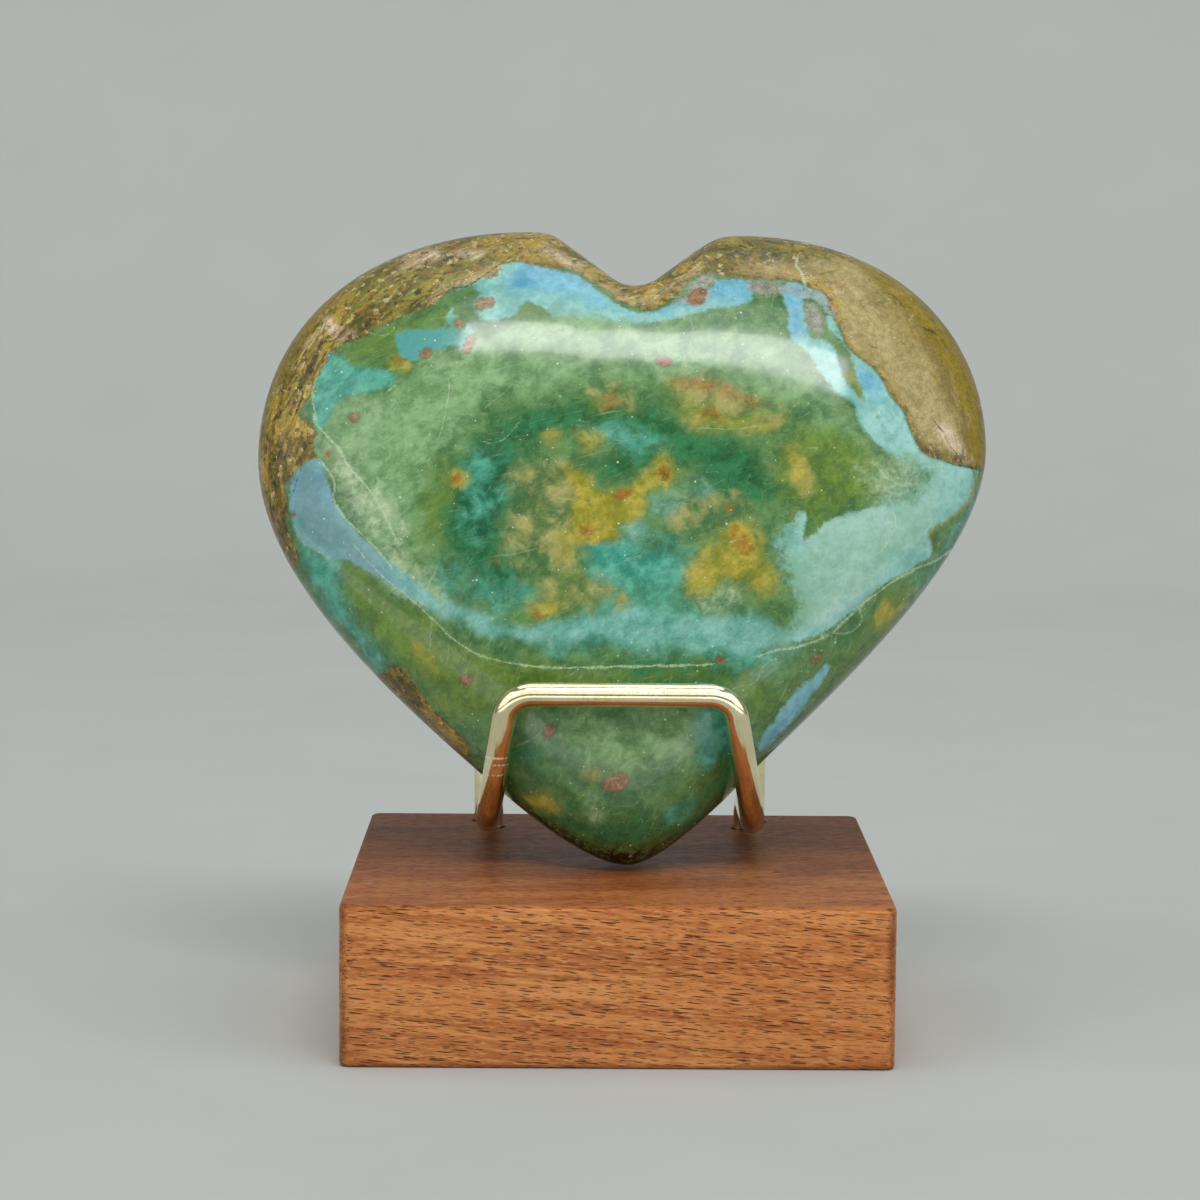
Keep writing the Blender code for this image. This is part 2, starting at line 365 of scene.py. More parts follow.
LAVENDER = (
    (
        (750, 279), (778, 282), (800, 288), (820, 290), (832, 303), (838, 318), (828, 314), (820, 303),
        (802, 297), (786, 293), (768, 296), (750, 293),
    ),
    (
        (671, 302), (684, 293), (690, 282), (700, 276), (714, 273), (716, 280), (709, 290), (712, 298),
        (700, 306), (686, 306),
    ),
    ((806, 303), (815, 303), (823, 316), (824, 330), (816, 336), (808, 326), (804, 312)),
)
ROSE = (
    ellipse(485, 303, 9.5, 6, -8), ellipse(469, 344, 5, 11, 24), ellipse(459, 322, 4.5, 3.5),
    ellipse(426, 353, 6.5, 4.5, -20), ellipse(354, 418, 6.5, 5), ellipse(664, 361, 9, 4.5, 8),
    ellipse(466, 680, 6.5, 5, 20), ellipse(721, 660, 4.5, 3.5), ellipse(549, 732, 7, 5.5, -20),
    ellipse(817, 658, 8, 3.5, -35), ellipse(277, 515, 3, 7, 20), ellipse(292, 515, 2.6, 3),
    ellipse(697, 297, 10, 7, -30),
    ((602, 785), (609, 777), (621, 772), (629, 778), (625, 786), (618, 794), (613, 791), (606, 791)),
)
# Colours within the sky blue and the matrix. Their softness and strength are given with CLOUD_MARKS.
AZURE = (
    ((520, 262), (557, 268), (585, 276), (612, 302), (600, 312), (575, 298), (545, 294), (512, 290)),
    ((620, 306), (655, 312), (672, 303), (690, 294), (690, 304), (660, 314), (636, 316)),
    ((709, 288), (716, 279), (750, 281), (748, 296), (735, 301), (712, 303)),
    ((781, 290), (803, 286), (805, 310), (808, 332), (800, 340), (790, 334), (787, 312)),
    ((845, 366), (870, 370), (882, 386), (872, 396), (860, 384)),
    ((296, 470), (322, 463), (330, 492), (326, 512), (306, 512), (292, 494)),
    ((755, 752), (775, 720), (800, 690), (828, 662), (832, 668), (806, 704), (776, 742)),
)
TAN = (
    (
        (838, 306), (868, 300), (900, 325), (922, 362), (940, 410), (950, 440), (925, 440), (905, 402),
        (880, 372), (850, 346),
    ),
    (
        (800, 262), (850, 262), (890, 290), (925, 340), (948, 400), (960, 450), (920, 440), (880, 360),
        (838, 300),
    ),
    ((440, 290), (470, 276), (500, 266), (498, 280), (462, 290), (430, 306)),
    ((735, 268), (800, 262), (812, 280), (770, 280)),
    (
        (575, 262), (600, 280), (640, 302), (690, 275), (700, 262), (660, 300), (636, 308), (600, 292),
        (570, 274),
    ),
)
MUSTARD = (
    (
        (858, 268), (885, 292), (912, 330), (936, 382), (952, 425), (968, 464), (1010, 470), (1010, 380),
        (960, 270), (880, 240),
    ),
    ((250, 470), (262, 420), (285, 365), (318, 318), (350, 280), (330, 260), (240, 330), (230, 460)),
    ((500, 258), (552, 258), (575, 274), (530, 262), (505, 268)),
)
MOSSY_MATRIX = (
    ((330, 330), (350, 300), (390, 285), (420, 278), (430, 292), (400, 318), (365, 336), (340, 348)),
    ((345, 290), (385, 262), (440, 252), (500, 244), (520, 250), (470, 262), (420, 272), (370, 292)),
    ((700, 246), (760, 240), (830, 250), (860, 268), (810, 262), (740, 258), (705, 262)),
)
CREAM = (
    ((398, 262), (410, 254), (430, 252), (441, 256), (432, 263), (415, 266), (402, 268)),
    ((455, 250), (480, 247), (478, 252), (460, 256)),
    ((545, 246), (556, 248), (568, 258), (578, 268), (570, 270), (556, 258), (545, 252)),
    ((938, 424), (950, 430), (960, 446), (964, 462), (954, 458), (944, 444), (936, 434)),
    ((322, 318), (350, 328), (352, 338), (334, 342)),
    ((685, 289), (692, 287), (694, 300), (690, 308), (684, 302)),
)
# Soft clouds in the stone: softness across the edge, strength, loop
# Pale grey-green clouds, partly a painted reflection: they also lay in the hazy sheen over the upper middle
# of the front and the grey haze under the bar
SAGE_AND_HAZE = (
    (46, 0.95, (
        (322, 436), (348, 402), (395, 386), (424, 364), (480, 350), (560, 360), (650, 368), (690, 362),
        (650, 372), (570, 378), (505, 390), (464, 428), (432, 468), (414, 515), (420, 556), (392, 540),
        (366, 500), (345, 466),
    )),
    (40, 0.50, (
        (640, 360), (740, 352), (800, 362), (838, 400), (866, 440), (880, 470), (862, 492), (836, 470),
        (800, 424), (756, 392), (700, 376),
    )),
    (30, 0.60, (
        (560, 318), (660, 325), (740, 312), (790, 340), (800, 360), (700, 356), (600, 352), (500, 350),
        (470, 336),
    )),
    (34, 0.65, (
        (515, 712), (600, 704), (700, 708), (724, 730), (700, 756), (640, 770), (570, 760), (520, 748),
    )),
    (26, 0.50, ((440, 650), (500, 668), (500, 700), (470, 716), (430, 690))),
)
MOSS = (
    (26, 0.90, (
        (328, 560), (373, 578), (407, 597), (435, 622), (463, 648), (503, 660), (560, 668), (560, 690),
        (500, 716), (463, 720), (430, 693), (396, 662), (368, 625), (345, 586),
    )),
    (24, 0.75, (
        (540, 668), (620, 672), (700, 670), (760, 672), (770, 700), (748, 720), (740, 690), (640, 682),
        (540, 684),
    )),
    (30, 0.80, (
        (776, 448), (800, 430), (850, 440), (885, 470), (884, 492), (862, 508), (826, 520), (802, 540),
        (806, 512), (790, 500), (776, 480),
    )),
    (24, 0.55, (
        (344, 342), (372, 330), (400, 324), (412, 340), (400, 352), (400, 372), (380, 374), (356, 364),
        (340, 352),
    )),
    (24, 0.45, ((396, 318), (440, 306), (462, 308), (462, 322), (430, 330), (400, 332))),
    (34, 0.75, (
        (510, 790), (560, 812), (600, 836), (640, 836), (700, 800), (730, 770), (720, 800), (660, 846),
        (600, 856), (540, 826),
    )),
    (30, 0.25, ((702, 590), (740, 588), (782, 600), (780, 622), (740, 616), (712, 628), (704, 608))),
    (34, 0.60, ((530, 584), (580, 572), (640, 586), (640, 600), (590, 612), (540, 614), (500, 600))),
    (26, 0.70, ((672, 384), (720, 392), (786, 412), (760, 436), (700, 436), (672, 412))),
    (28, 0.65, ((586, 384), (628, 382), (632, 412), (600, 420), (582, 408))),
    (26, 0.60, (
        (425, 470), (455, 452), (486, 462), (488, 492), (460, 520), (430, 545), (412, 560), (418, 520),
    )),
    (30, 0.60, (
        (752, 700), (790, 680), (820, 660), (850, 640), (900, 600), (926, 580), (918, 604), (870, 664),
        (826, 690), (800, 690), (770, 720),
    )),
    (16, 0.75, ((869, 622), (880, 602), (917, 580), (925, 588), (905, 610), (880, 634))),
    (20, 0.50, ((514, 316), (520, 302), (534, 300), (546, 312), (540, 320))),
)
DEEP = (
    (34, 0.95, (
        (455, 462), (500, 440), (520, 470), (506, 520), (515, 560), (530, 600), (490, 590), (456, 560),
        (440, 520),
    )),
    (34, 0.90, (
        (500, 430), (540, 404), (600, 402), (660, 406), (700, 432), (748, 440), (770, 470), (762, 500),
        (720, 492), (690, 470), (650, 444), (612, 432), (572, 430), (530, 450),
    )),
    (26, 0.80, ((604, 452), (640, 448), (660, 460), (640, 476), (618, 486), (604, 484))),
    (34, 0.35, ((640, 545), (690, 540), (706, 590), (680, 612), (610, 606), (600, 580))),
    (30, 0.70, (
        (540, 800), (600, 812), (680, 806), (720, 770), (728, 790), (690, 826), (640, 846), (590, 842),
    )),
    (28, 0.70, ((512, 730), (536, 740), (540, 790), (520, 790), (508, 770))),
    (28, 0.60, ((700, 710), (728, 712), (728, 770), (706, 780), (694, 750))),
    (30, 0.60, ((600, 660), (680, 656), (740, 660), (730, 684), (640, 684))),
)
TEAL = (
    (10, 0.95, (
        (316, 392), (318, 372), (328, 352), (354, 362), (392, 373), (389, 383), (356, 395), (334, 407),
        (326, 426), (317, 421),
    )),
    (26, 0.95, (
        (330, 560), (345, 600), (385, 660), (372, 668), (330, 612), (306, 572), (300, 550), (316, 552),
    )),
    (18, 0.95, ((586, 552), (612, 545), (624, 560), (618, 580), (598, 578))),
    (40, 0.85, ((600, 545), (640, 540), (680, 545), (690, 575), (660, 600), (610, 592))),
    (34, 0.50, ((470, 450), (506, 452), (510, 480), (500, 520), (476, 540), (456, 520), (462, 480))),
    (30, 0.55, ((440, 560), (480, 570), (530, 590), (540, 610), (490, 612), (450, 600), (430, 580))),
    (34, 0.80, (
        (610, 606), (680, 606), (720, 620), (720, 650), (640, 652), (560, 650), (540, 640), (580, 618),
    )),
    (22, 0.80, ((694, 716), (726, 722), (730, 752), (712, 772), (698, 756))),
    (22, 0.65, ((664, 812), (690, 798), (700, 806), (680, 826))),
    (22, 0.80, (
        (972, 480), (980, 505), (960, 542), (934, 576), (905, 606), (900, 600), (926, 570), (950, 540),
        (966, 505),
    )),
    (30, 0.60, ((700, 630), (760, 640), (800, 650), (780, 668), (720, 664))),
    (24, 0.65, ((590, 428), (620, 424), (660, 440), (640, 452), (600, 446))),
    (20, 0.55, ((900, 470), (935, 465), (960, 474), (950, 500), (920, 520), (896, 520))),
)
BAND = (
    (16, 0.90, (
        (425, 590), (440, 592), (472, 613), (526, 627), (560, 622), (593, 618), (633, 613), (640, 622),
        (626, 636), (593, 638), (560, 646), (520, 641), (470, 628), (436, 610),
    )),
    (16, 0.85, (
        (689, 632), (700, 622), (726, 616), (767, 620), (790, 640), (760, 650), (730, 650), (696, 648),
    )),
    (26, 0.55, ((600, 612), (690, 616), (720, 626), (690, 650), (620, 648))),
    (24, 0.55, ((657, 498), (676, 494), (688, 504), (680, 514), (660, 514))),
    (22, 0.50, ((690, 484), (704, 480), (716, 490), (704, 500), (692, 497))),
    (20, 0.45, ((622, 520), (640, 516), (646, 536), (632, 546), (620, 538))),
)
MIST = (
    (14, 0.80, ((372, 482), (384, 484), (398, 504), (404, 528), (392, 526), (378, 506))),
    (26, 0.80, (
        (330, 446), (352, 470), (372, 500), (400, 545), (440, 590), (430, 604), (396, 576), (370, 540),
        (350, 505),
    )),
    (20, 0.45, ((380, 560), (420, 572), (450, 600), (440, 612), (400, 590))),
    (26, 0.55, ((860, 470), (900, 460), (920, 480), (906, 510), (880, 506))),
    (22, 0.50, ((700, 590), (722, 584), (744, 600), (724, 614), (702, 608))),
    (20, 0.50, ((584, 800), (596, 796), (606, 806), (602, 818), (590, 818))),
)
UMBER = (
    (24, 0.68, (
        (500, 479), (532, 464), (566, 466), (580, 500), (578, 546), (570, 566), (546, 566), (528, 556),
        (498, 538), (514, 510),
    )),
    (22, 0.50, ((588, 386), (610, 381), (628, 390), (626, 412), (604, 418), (590, 408))),
    (24, 0.55, (
        (673, 376), (700, 378), (740, 388), (772, 402), (790, 416), (770, 428), (730, 428), (690, 424),
        (680, 400),
    )),
    (28, 0.55, ((676, 500), (730, 494), (748, 512), (730, 530), (690, 536), (676, 520))),
    (26, 0.55, ((552, 590), (620, 584), (622, 604), (580, 616), (552, 608))),
    (24, 0.50, ((776, 452), (812, 452), (818, 500), (800, 512), (784, 494))),
    (24, 0.45, ((500, 560), (560, 566), (600, 580), (570, 590), (510, 582))),
    (18, 0.60, ((852, 570), (862, 566), (870, 584), (864, 600), (852, 596))),
    (16, 0.60, ((344, 630), (356, 650), (372, 672), (362, 676), (340, 650), (332, 632))),
)
OCHRE = (
    (15, 0.95, (
        (565, 467), (590, 470), (601, 487), (624, 485), (646, 469), (660, 455), (674, 470), (668, 483),
        (645, 491), (646, 508), (632, 523), (618, 532), (612, 543), (588, 543), (574, 535), (574, 512),
        (577, 496),
    )),
    (16, 0.60, ((576, 433), (590, 430), (604, 438), (602, 450), (586, 452), (576, 446))),
    (14, 0.45, ((546, 430), (560, 428), (566, 440), (556, 448), (546, 442))),
    (24, 0.86, (
        (728, 528), (742, 522), (760, 537), (766, 563), (772, 583), (768, 600), (745, 592), (728, 584),
        (706, 592), (689, 592), (691, 568), (708, 552),
    )),
    (22, 0.45, ((683, 402), (712, 402), (760, 414), (786, 420), (770, 431), (730, 430), (692, 430))),
    (14, 0.60, ((526, 600), (548, 602), (560, 612), (548, 624), (530, 616))),
    (16, 0.70, ((527, 792), (545, 790), (560, 800), (562, 812), (545, 808), (530, 802))),
    (14, 0.45, ((581, 773), (592, 770), (600, 780), (592, 790), (582, 786))),
    (16, 0.50, ((786, 452), (806, 452), (816, 480), (812, 500), (796, 490))),
    (9, 0.85, (
        (973, 474), (976, 488), (968, 508), (952, 521), (929, 535), (906, 547), (884, 553), (884, 549),
        (906, 540), (929, 529), (950, 515), (964, 500),
    )),
    (14, 0.50, ((880, 548), (906, 544), (930, 538), (920, 552), (890, 556))),
    (10, 0.75, ((850, 574), (858, 567), (866, 576), (866, 594), (858, 602), (851, 590))),
    (14, 0.60, ((872, 618), (890, 600), (914, 584), (920, 590), (900, 612), (880, 630))),
    (14, 0.55, ((416, 640), (432, 650), (440, 668), (428, 672), (414, 656))),
    (12, 0.60, ((392, 360), (400, 353), (410, 358), (408, 368), (396, 370))),
    (10, 0.60, ((444, 470), (456, 464), (464, 474), (458, 484), (446, 482))),
    (12, 0.55, ((850, 352), (858, 372), (864, 390), (858, 392), (846, 372))),
    (12, 0.50, ((560, 530), (576, 536), (572, 560), (556, 560), (548, 546))),
)
RUST = (
    (14, 0.60, (
        (676, 378), (700, 376), (726, 384), (760, 396), (772, 404), (740, 402), (706, 394), (682, 390),
    )),
    (8, 0.75, ((612, 492), (624, 486), (632, 490), (626, 498), (614, 500))),
    (7, 0.80, ((654, 470), (662, 466), (668, 474), (660, 480))),
    (8, 0.60, ((578, 526), (590, 524), (594, 532), (584, 538))),
    (8, 0.60, ((726, 502), (734, 502), (736, 512), (728, 514))),
    (9, 0.55, ((736, 530), (750, 536), (756, 552), (744, 560), (734, 548))),
    (8, 0.60, ((448, 471), (456, 468), (459, 476), (452, 480))),
    (6, 0.70, ((397, 357), (403, 355), (405, 361), (399, 364))),
    (9, 0.50, ((600, 392), (616, 390), (618, 404), (604, 408))),
    (7, 0.55, ((700, 412), (716, 410), (720, 420), (704, 424))),
    (8, 0.45, ((342, 318), (352, 310), (366, 314), (356, 326), (344, 328))),
    (6, 0.50, ((398, 300), (410, 298), (416, 306), (404, 310))),
    (7, 0.55, ((535, 612), (545, 610), (548, 618), (538, 620))),
    (7, 0.50, ((322, 452), (332, 448), (338, 456), (330, 462))),
)
# Painted shade: dark clouds under the tip and on the rim beside it, where the wood's shade and dark
# reflection fall, and at a few places near the edge
PAINTED_SHADE = (
    (12, 1.0, (
        (540, 818), (580, 838), (622, 846), (664, 842), (712, 818), (724, 836), (660, 880), (590, 880),
        (532, 836),
    )),
    (9, 0.8, ((520, 806), (548, 828), (560, 842), (540, 836), (508, 808))),
    (20, 0.60, ((262, 432), (276, 420), (300, 440), (302, 470), (288, 486), (272, 474))),
    (14, 0.50, ((340, 330), (366, 322), (372, 330), (350, 342), (336, 346))),
    (16, 0.45, ((720, 252), (780, 252), (800, 262), (760, 268), (724, 262))),
    (12, 0.50, ((382, 668), (404, 668), (410, 688), (396, 690))),
    (14, 0.40, ((424, 706), (446, 712), (452, 728), (436, 730))),
    (12, 0.40, ((868, 296), (886, 294), (884, 304), (872, 306))),
)
PALE = (
    (30, 0.9, (
        (806, 510), (850, 505), (885, 505), (925, 500), (955, 490), (930, 530), (900, 560), (860, 596),
        (820, 620), (790, 630), (775, 610), (772, 560), (800, 545),
    )),
    (20, 0.8, ((896, 458), (920, 462), (940, 470), (925, 500), (900, 505), (892, 480))),
)
# Where the sky blue thins out instead of ending at a seam
SKY_FADE = (
    (34, 1.0, (
        (736, 560), (742, 500), (764, 486), (800, 496), (792, 520), (780, 545), (790, 590), (800, 612),
        (770, 660), (736, 650),
    )),
    (22, 1.0, (
        (520, 322), (560, 316), (620, 326), (690, 322), (750, 306), (756, 330), (640, 345), (520, 340),
    )),
    (20, 1.0, ((340, 600), (380, 590), (430, 606), (446, 626), (400, 620))),
    (18, 0.9, ((450, 292), (470, 282), (480, 300), (470, 326), (450, 330))),
    (24, 0.9, (
        (840, 512), (880, 506), (920, 500), (930, 476), (900, 456), (880, 450), (860, 480), (830, 500),
    )),
    (16, 0.8, ((850, 640), (900, 590), (940, 560), (950, 575), (880, 640))),
)
AQUA = (
    (16, 0.95, ((392, 330), (420, 326), (452, 326), (462, 338), (448, 350), (415, 362), (396, 356))),
)
PERIWINKLE = (
    (30, 0.95, (
        (300, 455), (325, 470), (336, 505), (356, 535), (400, 572), (380, 582), (330, 560), (296, 520),
    )),
)
# Open lines: width, strength, points
VEINS = (
    (3.0, 0.9, (
        (313, 392), (315, 420), (328, 437), (340, 450), (350, 468), (366, 485), (380, 506), (396, 540),
    )),
    (2.2, 0.6, ((318, 372), (312, 395), (318, 422))),
    (2.6, 0.8, ((322, 463), (334, 480), (334, 500), (344, 517), (362, 534), (376, 549), (392, 568))),
    (2.4, 0.8, (
        (354, 545), (372, 566), (390, 582), (408, 597), (436, 622), (464, 647), (498, 661), (526, 666),
    )),
    (3.0, 1.0, ((505, 663), (545, 667), (600, 667), (660, 666), (712, 664))),
    (3.2, 1.0, (
        (976, 540), (948, 552), (934, 561), (898, 578), (878, 592), (861, 606), (830, 634), (802, 646),
        (776, 650), (758, 656),
    )),
    (2.0, 0.6, ((866, 560), (882, 550), (892, 536), (896, 522), (893, 510))),
    (2.0, 0.5, ((820, 634), (850, 632), (862, 620), (858, 608))),
    (1.8, 0.7, ((449, 384), (446, 408), (441, 432))),
    (1.4, 0.5, ((518, 424), (508, 436), (494, 443), (484, 441))),
    (1.3, 0.4, ((486, 408), (500, 396), (512, 384))),
    (2.0, 0.6, ((389, 391), (395, 386))),
    (1.4, 0.5, ((700, 428), (730, 430), (758, 426))),
    (1.6, 0.5, ((512, 748), (530, 740), (545, 728))),
    (1.6, 0.5, ((716, 700), (736, 688), (756, 682), (762, 668), (772, 660))),
    (1.6, 0.5, ((776, 290), (772, 304))),
    (3.4, 0.9, ((797, 258), (796, 266), (802, 274), (805, 284))),
    (1.6, 0.45, ((366, 332), (384, 336), (392, 330))),
    (1.5, 0.4, ((690, 318), (694, 332), (690, 344))),
    (1.5, 0.45, ((880, 470), (892, 482), (906, 486))),
    (1.3, 0.5, ((735, 640), (756, 644))),
)
CRACKS = (
    (2.6, 0.9, ((322, 338), (318, 352), (314, 366), (304, 376), (299, 386), (292, 396), (284, 410))),
    (1.8, 0.7, ((300, 362), (288, 384), (280, 404), (274, 430), (270, 452))),
    (1.5, 0.6, ((318, 324), (300, 346), (286, 374))),
    (1.8, 0.7, ((400, 250), (440, 240), (490, 238), (540, 238))),
    (1.6, 0.7, ((396, 302), (416, 300), (430, 294))),
    (1.6, 0.7, ((503, 262), (512, 256), (522, 250))),
    (2.0, 0.7, ((712, 262), (740, 250), (770, 254), (800, 252))),
    (1.5, 0.5, ((800, 276), (820, 274), (836, 270))),
    (1.4, 0.5, ((872, 292), (888, 294), (900, 300))),
    (2.2, 0.9, ((948, 462), (966, 467), (984, 470))),
    (1.6, 0.6, ((706, 250), (690, 266), (668, 286), (650, 300))),
    (1.3, 0.5, ((340, 334), (352, 340), (362, 338))),
    (1.5, 0.5, ((278, 436), (290, 446), (284, 460), (294, 470))),
    (1.5, 0.6, ((884, 350), (870, 346))),
    (5.0, 1.0, ((925, 329), (933, 333))),
    (1.8, 0.9, ((934, 422), (944, 434), (950, 446), (962, 460))),
    (1.6, 0.8, ((300, 470), (296, 484), (290, 496))),
    (3.0, 1.0, ((316, 352), (308, 372), (300, 380), (302, 396), (296, 412))),
    (3.0, 0.9, ((344, 330), (334, 340), (324, 342), (316, 352))),
    (2.6, 0.8, ((272, 440), (280, 450), (276, 466), (284, 478))),
    (2.0, 0.8, ((430, 300), (450, 290), (470, 284), (492, 270), (508, 258))),
)
CRISP_MARKS = {"sky": SKY, "matrix": MATRIX, "lavender": LAVENDER, "rose": ROSE}
CLOUD_MARKS = {
    "sage": SAGE_AND_HAZE,
    "moss": MOSS,
    "deep": DEEP,
    "teal": TEAL,
    "band": BAND,
    "mist": MIST,
    "umber": UMBER,
    "ochre": OCHRE,
    "rust": RUST,
    "azure": [(14, 0.95, loop) for loop in AZURE],
    "pale": PALE,
    "periwinkle": PERIWINKLE,
    "aqua": AQUA,
    "sky_fade": SKY_FADE,
    "tan": [(14, 0.9, loop) for loop in TAN],
    "mustard": [(16, 0.95, loop) for loop in MUSTARD],
    "mossy": [(20, 0.8, loop) for loop in MOSSY_MATRIX],
    "cream": [(9, 0.9, loop) for loop in CREAM],
    "shade": PAINTED_SHADE,
}
# Pigments in the order they are laid: mark, light and dark colour, the grain that breaks its edge, how hard,
# and how soft what is left is
CLOUD_PIGMENTS = (
    ("sage", (140, 176, 126), (104, 146, 92), ("lumps", 0), 0.8, 0.5),
    ("moss", (116, 145, 64), (82, 113, 40), ("lumps", 1), 1.0, 0.46),
    ("deep", (54, 122, 76), (20, 84, 44), ("lumps", 2), 0.9, 0.5),
    ("teal", (94, 172, 150), (52, 138, 120), ("lumps", 2), 1.0, 0.5),
    ("band", (136, 192, 180), (102, 166, 150), ("lumps", 0), 0.6, 0.5),
    ("mist", (186, 204, 164), (136, 172, 132), ("small", 1), 1.0, 0.5),
    ("umber", (166, 162, 100), (98, 116, 60), ("lumps", 0), 1.4, 0.5),
    ("ochre", (184, 168, 70), (138, 136, 40), ("lumps", 2), 1.0, 0.5),
    ("rust", (156, 104, 36), (124, 88, 26), ("small", 1), 1.0, 0.46),
)
SKY_PIGMENTS = (
    ("azure", (136, 198, 216), (88, 154, 184), 1),
    ("pale", (168, 206, 190), (134, 182, 156), 0),
    ("periwinkle", (122, 158, 168), (90, 136, 138), 2),
    ("aqua", (84, 158, 152), (48, 122, 116), 0),
)
MATRIX_PIGMENTS = (
    ("mossy", (120, 126, 26), (62, 70, 4)),
    ("mustard", (142, 122, 22), (114, 96, 8)),
    ("tan", (178, 162, 108), (152, 136, 78)),
    ("cream", (222, 202, 174), (176, 152, 112)),
)
# Single grains in the matrix: which of the cell's three chances, how rare, how strong, colour
MATRIX_GRAINS = (
    (0, 0.70, 0.6, (170, 108, 26)),
    (1, 0.88, 0.6, (214, 196, 140)),
    (2, 0.76, 0.75, (46, 36, 10)),
)
# Small crisp patches: mark, light and dark colour, where the edge starts and ends, cover, how dark a ring
CRISP_PIGMENTS = (
    ("lavender", (176, 166, 168), (136, 124, 116), 0.28, 0.85, 0.7, 0.05),
    ("rose", (166, 122, 86), (120, 80, 48), 0.40, 0.62, 0.9, 0.35),
)
# Pale specks, partly painted glints of the polish: cell size, how rare from 0 to 1, radius in cells, colour
SPECKS_AND_GLINTS = (
    (0.8, 0.84, 0.15, (208, 222, 184)),
    (1.9, 0.84, 0.09, (222, 232, 204)),
)
SPECK_COVER = 0.85
# Lines: mark, strength and colour
LINE_TINTS = (("vein", 0.75, (190, 212, 176)), ("crack", 0.95, (40, 31, 18)))
# Where fine noise starts to break the lines and stops, and what it leaves of them
LINE_BREAKS = (0.40, 0.56, 0.25)
# The plain stone, sky blue and matrix under the pigments, light and dark
BODY_SHADES = ((104, 142, 86), (66, 110, 66))
SKY_SHADES = ((150, 204, 196), (112, 172, 164))
MATRIX_SHADES = ((172, 146, 50), (98, 88, 10))
# Stains, painted shade, and how far from its edge the ring round a crisp patch starts and ends
BRIGHT_LAYER_TINT = (204, 186, 144)
HOLLOW_TINT = (50, 40, 18)
THREAD_TINT = (48, 38, 20)
SEAM_TINT = (84, 66, 34)
RING_TINT = (92, 66, 46)
RING_REACH = (0.02, 0.12)
# Painted shade under the tip and at a few places near the edge
PAINTED_SHADE_TINT = (52, 40, 24)
# Painted shade: the colour that darkens the rim all round, where the surface turns away from the light
RIM_SHADE_TINT = (58, 46, 22)
RIM_SHADE_COVER = 0.5
RIM_SHADE_WAVER = 0.3
# Hairline scratches: colour, cover, which ways they run and how fast they change along and across
SCRATCH_TINT = (206, 224, 196)
SCRATCH_COVER = 0.2
SCRATCH_TURNS = (0.4, 1.3)
SCRATCH_STRETCH = (1.0, 1.0, 0.05)
# Noises: size in millimetres, detail, roughness and how far they are stirred. The stone's are its broad
# changes, lumps, small clouds and grit.
STONE_NOISES = ((9.0, 3.0), (3.0, 4.0, 0.6, 0.4), (0.9, 3.0, 0.65, 0.3), (0.3, 2.0, 0.7))
LAYER_NOISE = (3.4, 5.0, 0.62, 0.8)
THREAD_NOISE = (1.1, 3.0, 0.6, 0.8)
SCRATCH_NOISE = (0.6, 0.0, 0.4)
BRUSHED_NOISE = (0.8, 4.0, 0.7)
BRUSHED_PLACE = ((1.0, 1.0, 0.28), (0.0, 0.9, 0.0))
BRUSHED_SHARE = 0.6
# How far small and fine noise make the crisp edges ragged, as shares of the masks' ramp
RAGGED_SMALL = 0.5
RAGGED_GRIT = 0.3
# Cells of the matrix's grains in millimetres, how they are stirred, and the chance that is as good as sure
GRAIN_SIZE = 0.55
GRAIN_STIR_SIZE = 0.6
GRAIN_STIR_REACH = 0.9
GRAIN_SURE = 0.99
# How wide noise spreads a light shade into a dark one, and the coarse noise's share in it
TONE_SPREAD = 0.12
LAYER_SPREAD = 0.07
PATCH_SPREAD = 0.08
COARSE_SHARE = 0.7
# How hard grain pushes at a half-covered place, for all clouds and for some of them
GRAIN_PUSH = 6.5
SKY_BITE = 0.9
SKY_FADE_BITE = 1.1
MATRIX_BITE = 1.2
# How much the tan and mustard areas calm the matrix, and how strong the brushed grain is in each part
CALM = 0.8
MATRIX_GRAIN = 0.60
BODY_GRAIN = 0.28
SKY_GRAIN = 0.10
# Where noise wears the polish, and how much roughness the worn places and the matrix add
WORN_PLACES = (0.4, 0.7)
OPAL_WEAR = 0.08
MATRIX_ROUGHER = 0.2
OPAL_FINISH = {"IOR": 1.4, "Coat Weight": 0.2, "Coat Roughness": 0.05}
# Relief: its strength and its depth in millimetres, and the pits' and the lumps' shares of that depth
OPAL_RELIEF = (0.4, 0.1)
PIT_DEPTH = 0.8
LUMP_RISE = 0.05
# Brass: light and dark metal, the scratches' colour and the nicks' painted glint colour
BRASS_SHADES = ((232, 220, 176), (244, 236, 202))
BRASS_SCRATCH_TINT = (206, 178, 112)
NICK_GLINT_TINT = (255, 252, 236)
NICK_ROUGHER = 0.7
BRASS_WEAR = 0.1
BRASS_BROAD_NOISE = (6.0, 3.0)
BRASS_FINE_NOISE = (0.3, 3.0, 0.6)
BRASS_FINE_PLACE = ((1.0, 1.0, 0.2), (0.2, 0.1, 0.0))
BRASS_FINISH = {"Metallic": 1.0}
BRASS_RELIEF = (0.12, 0.03)
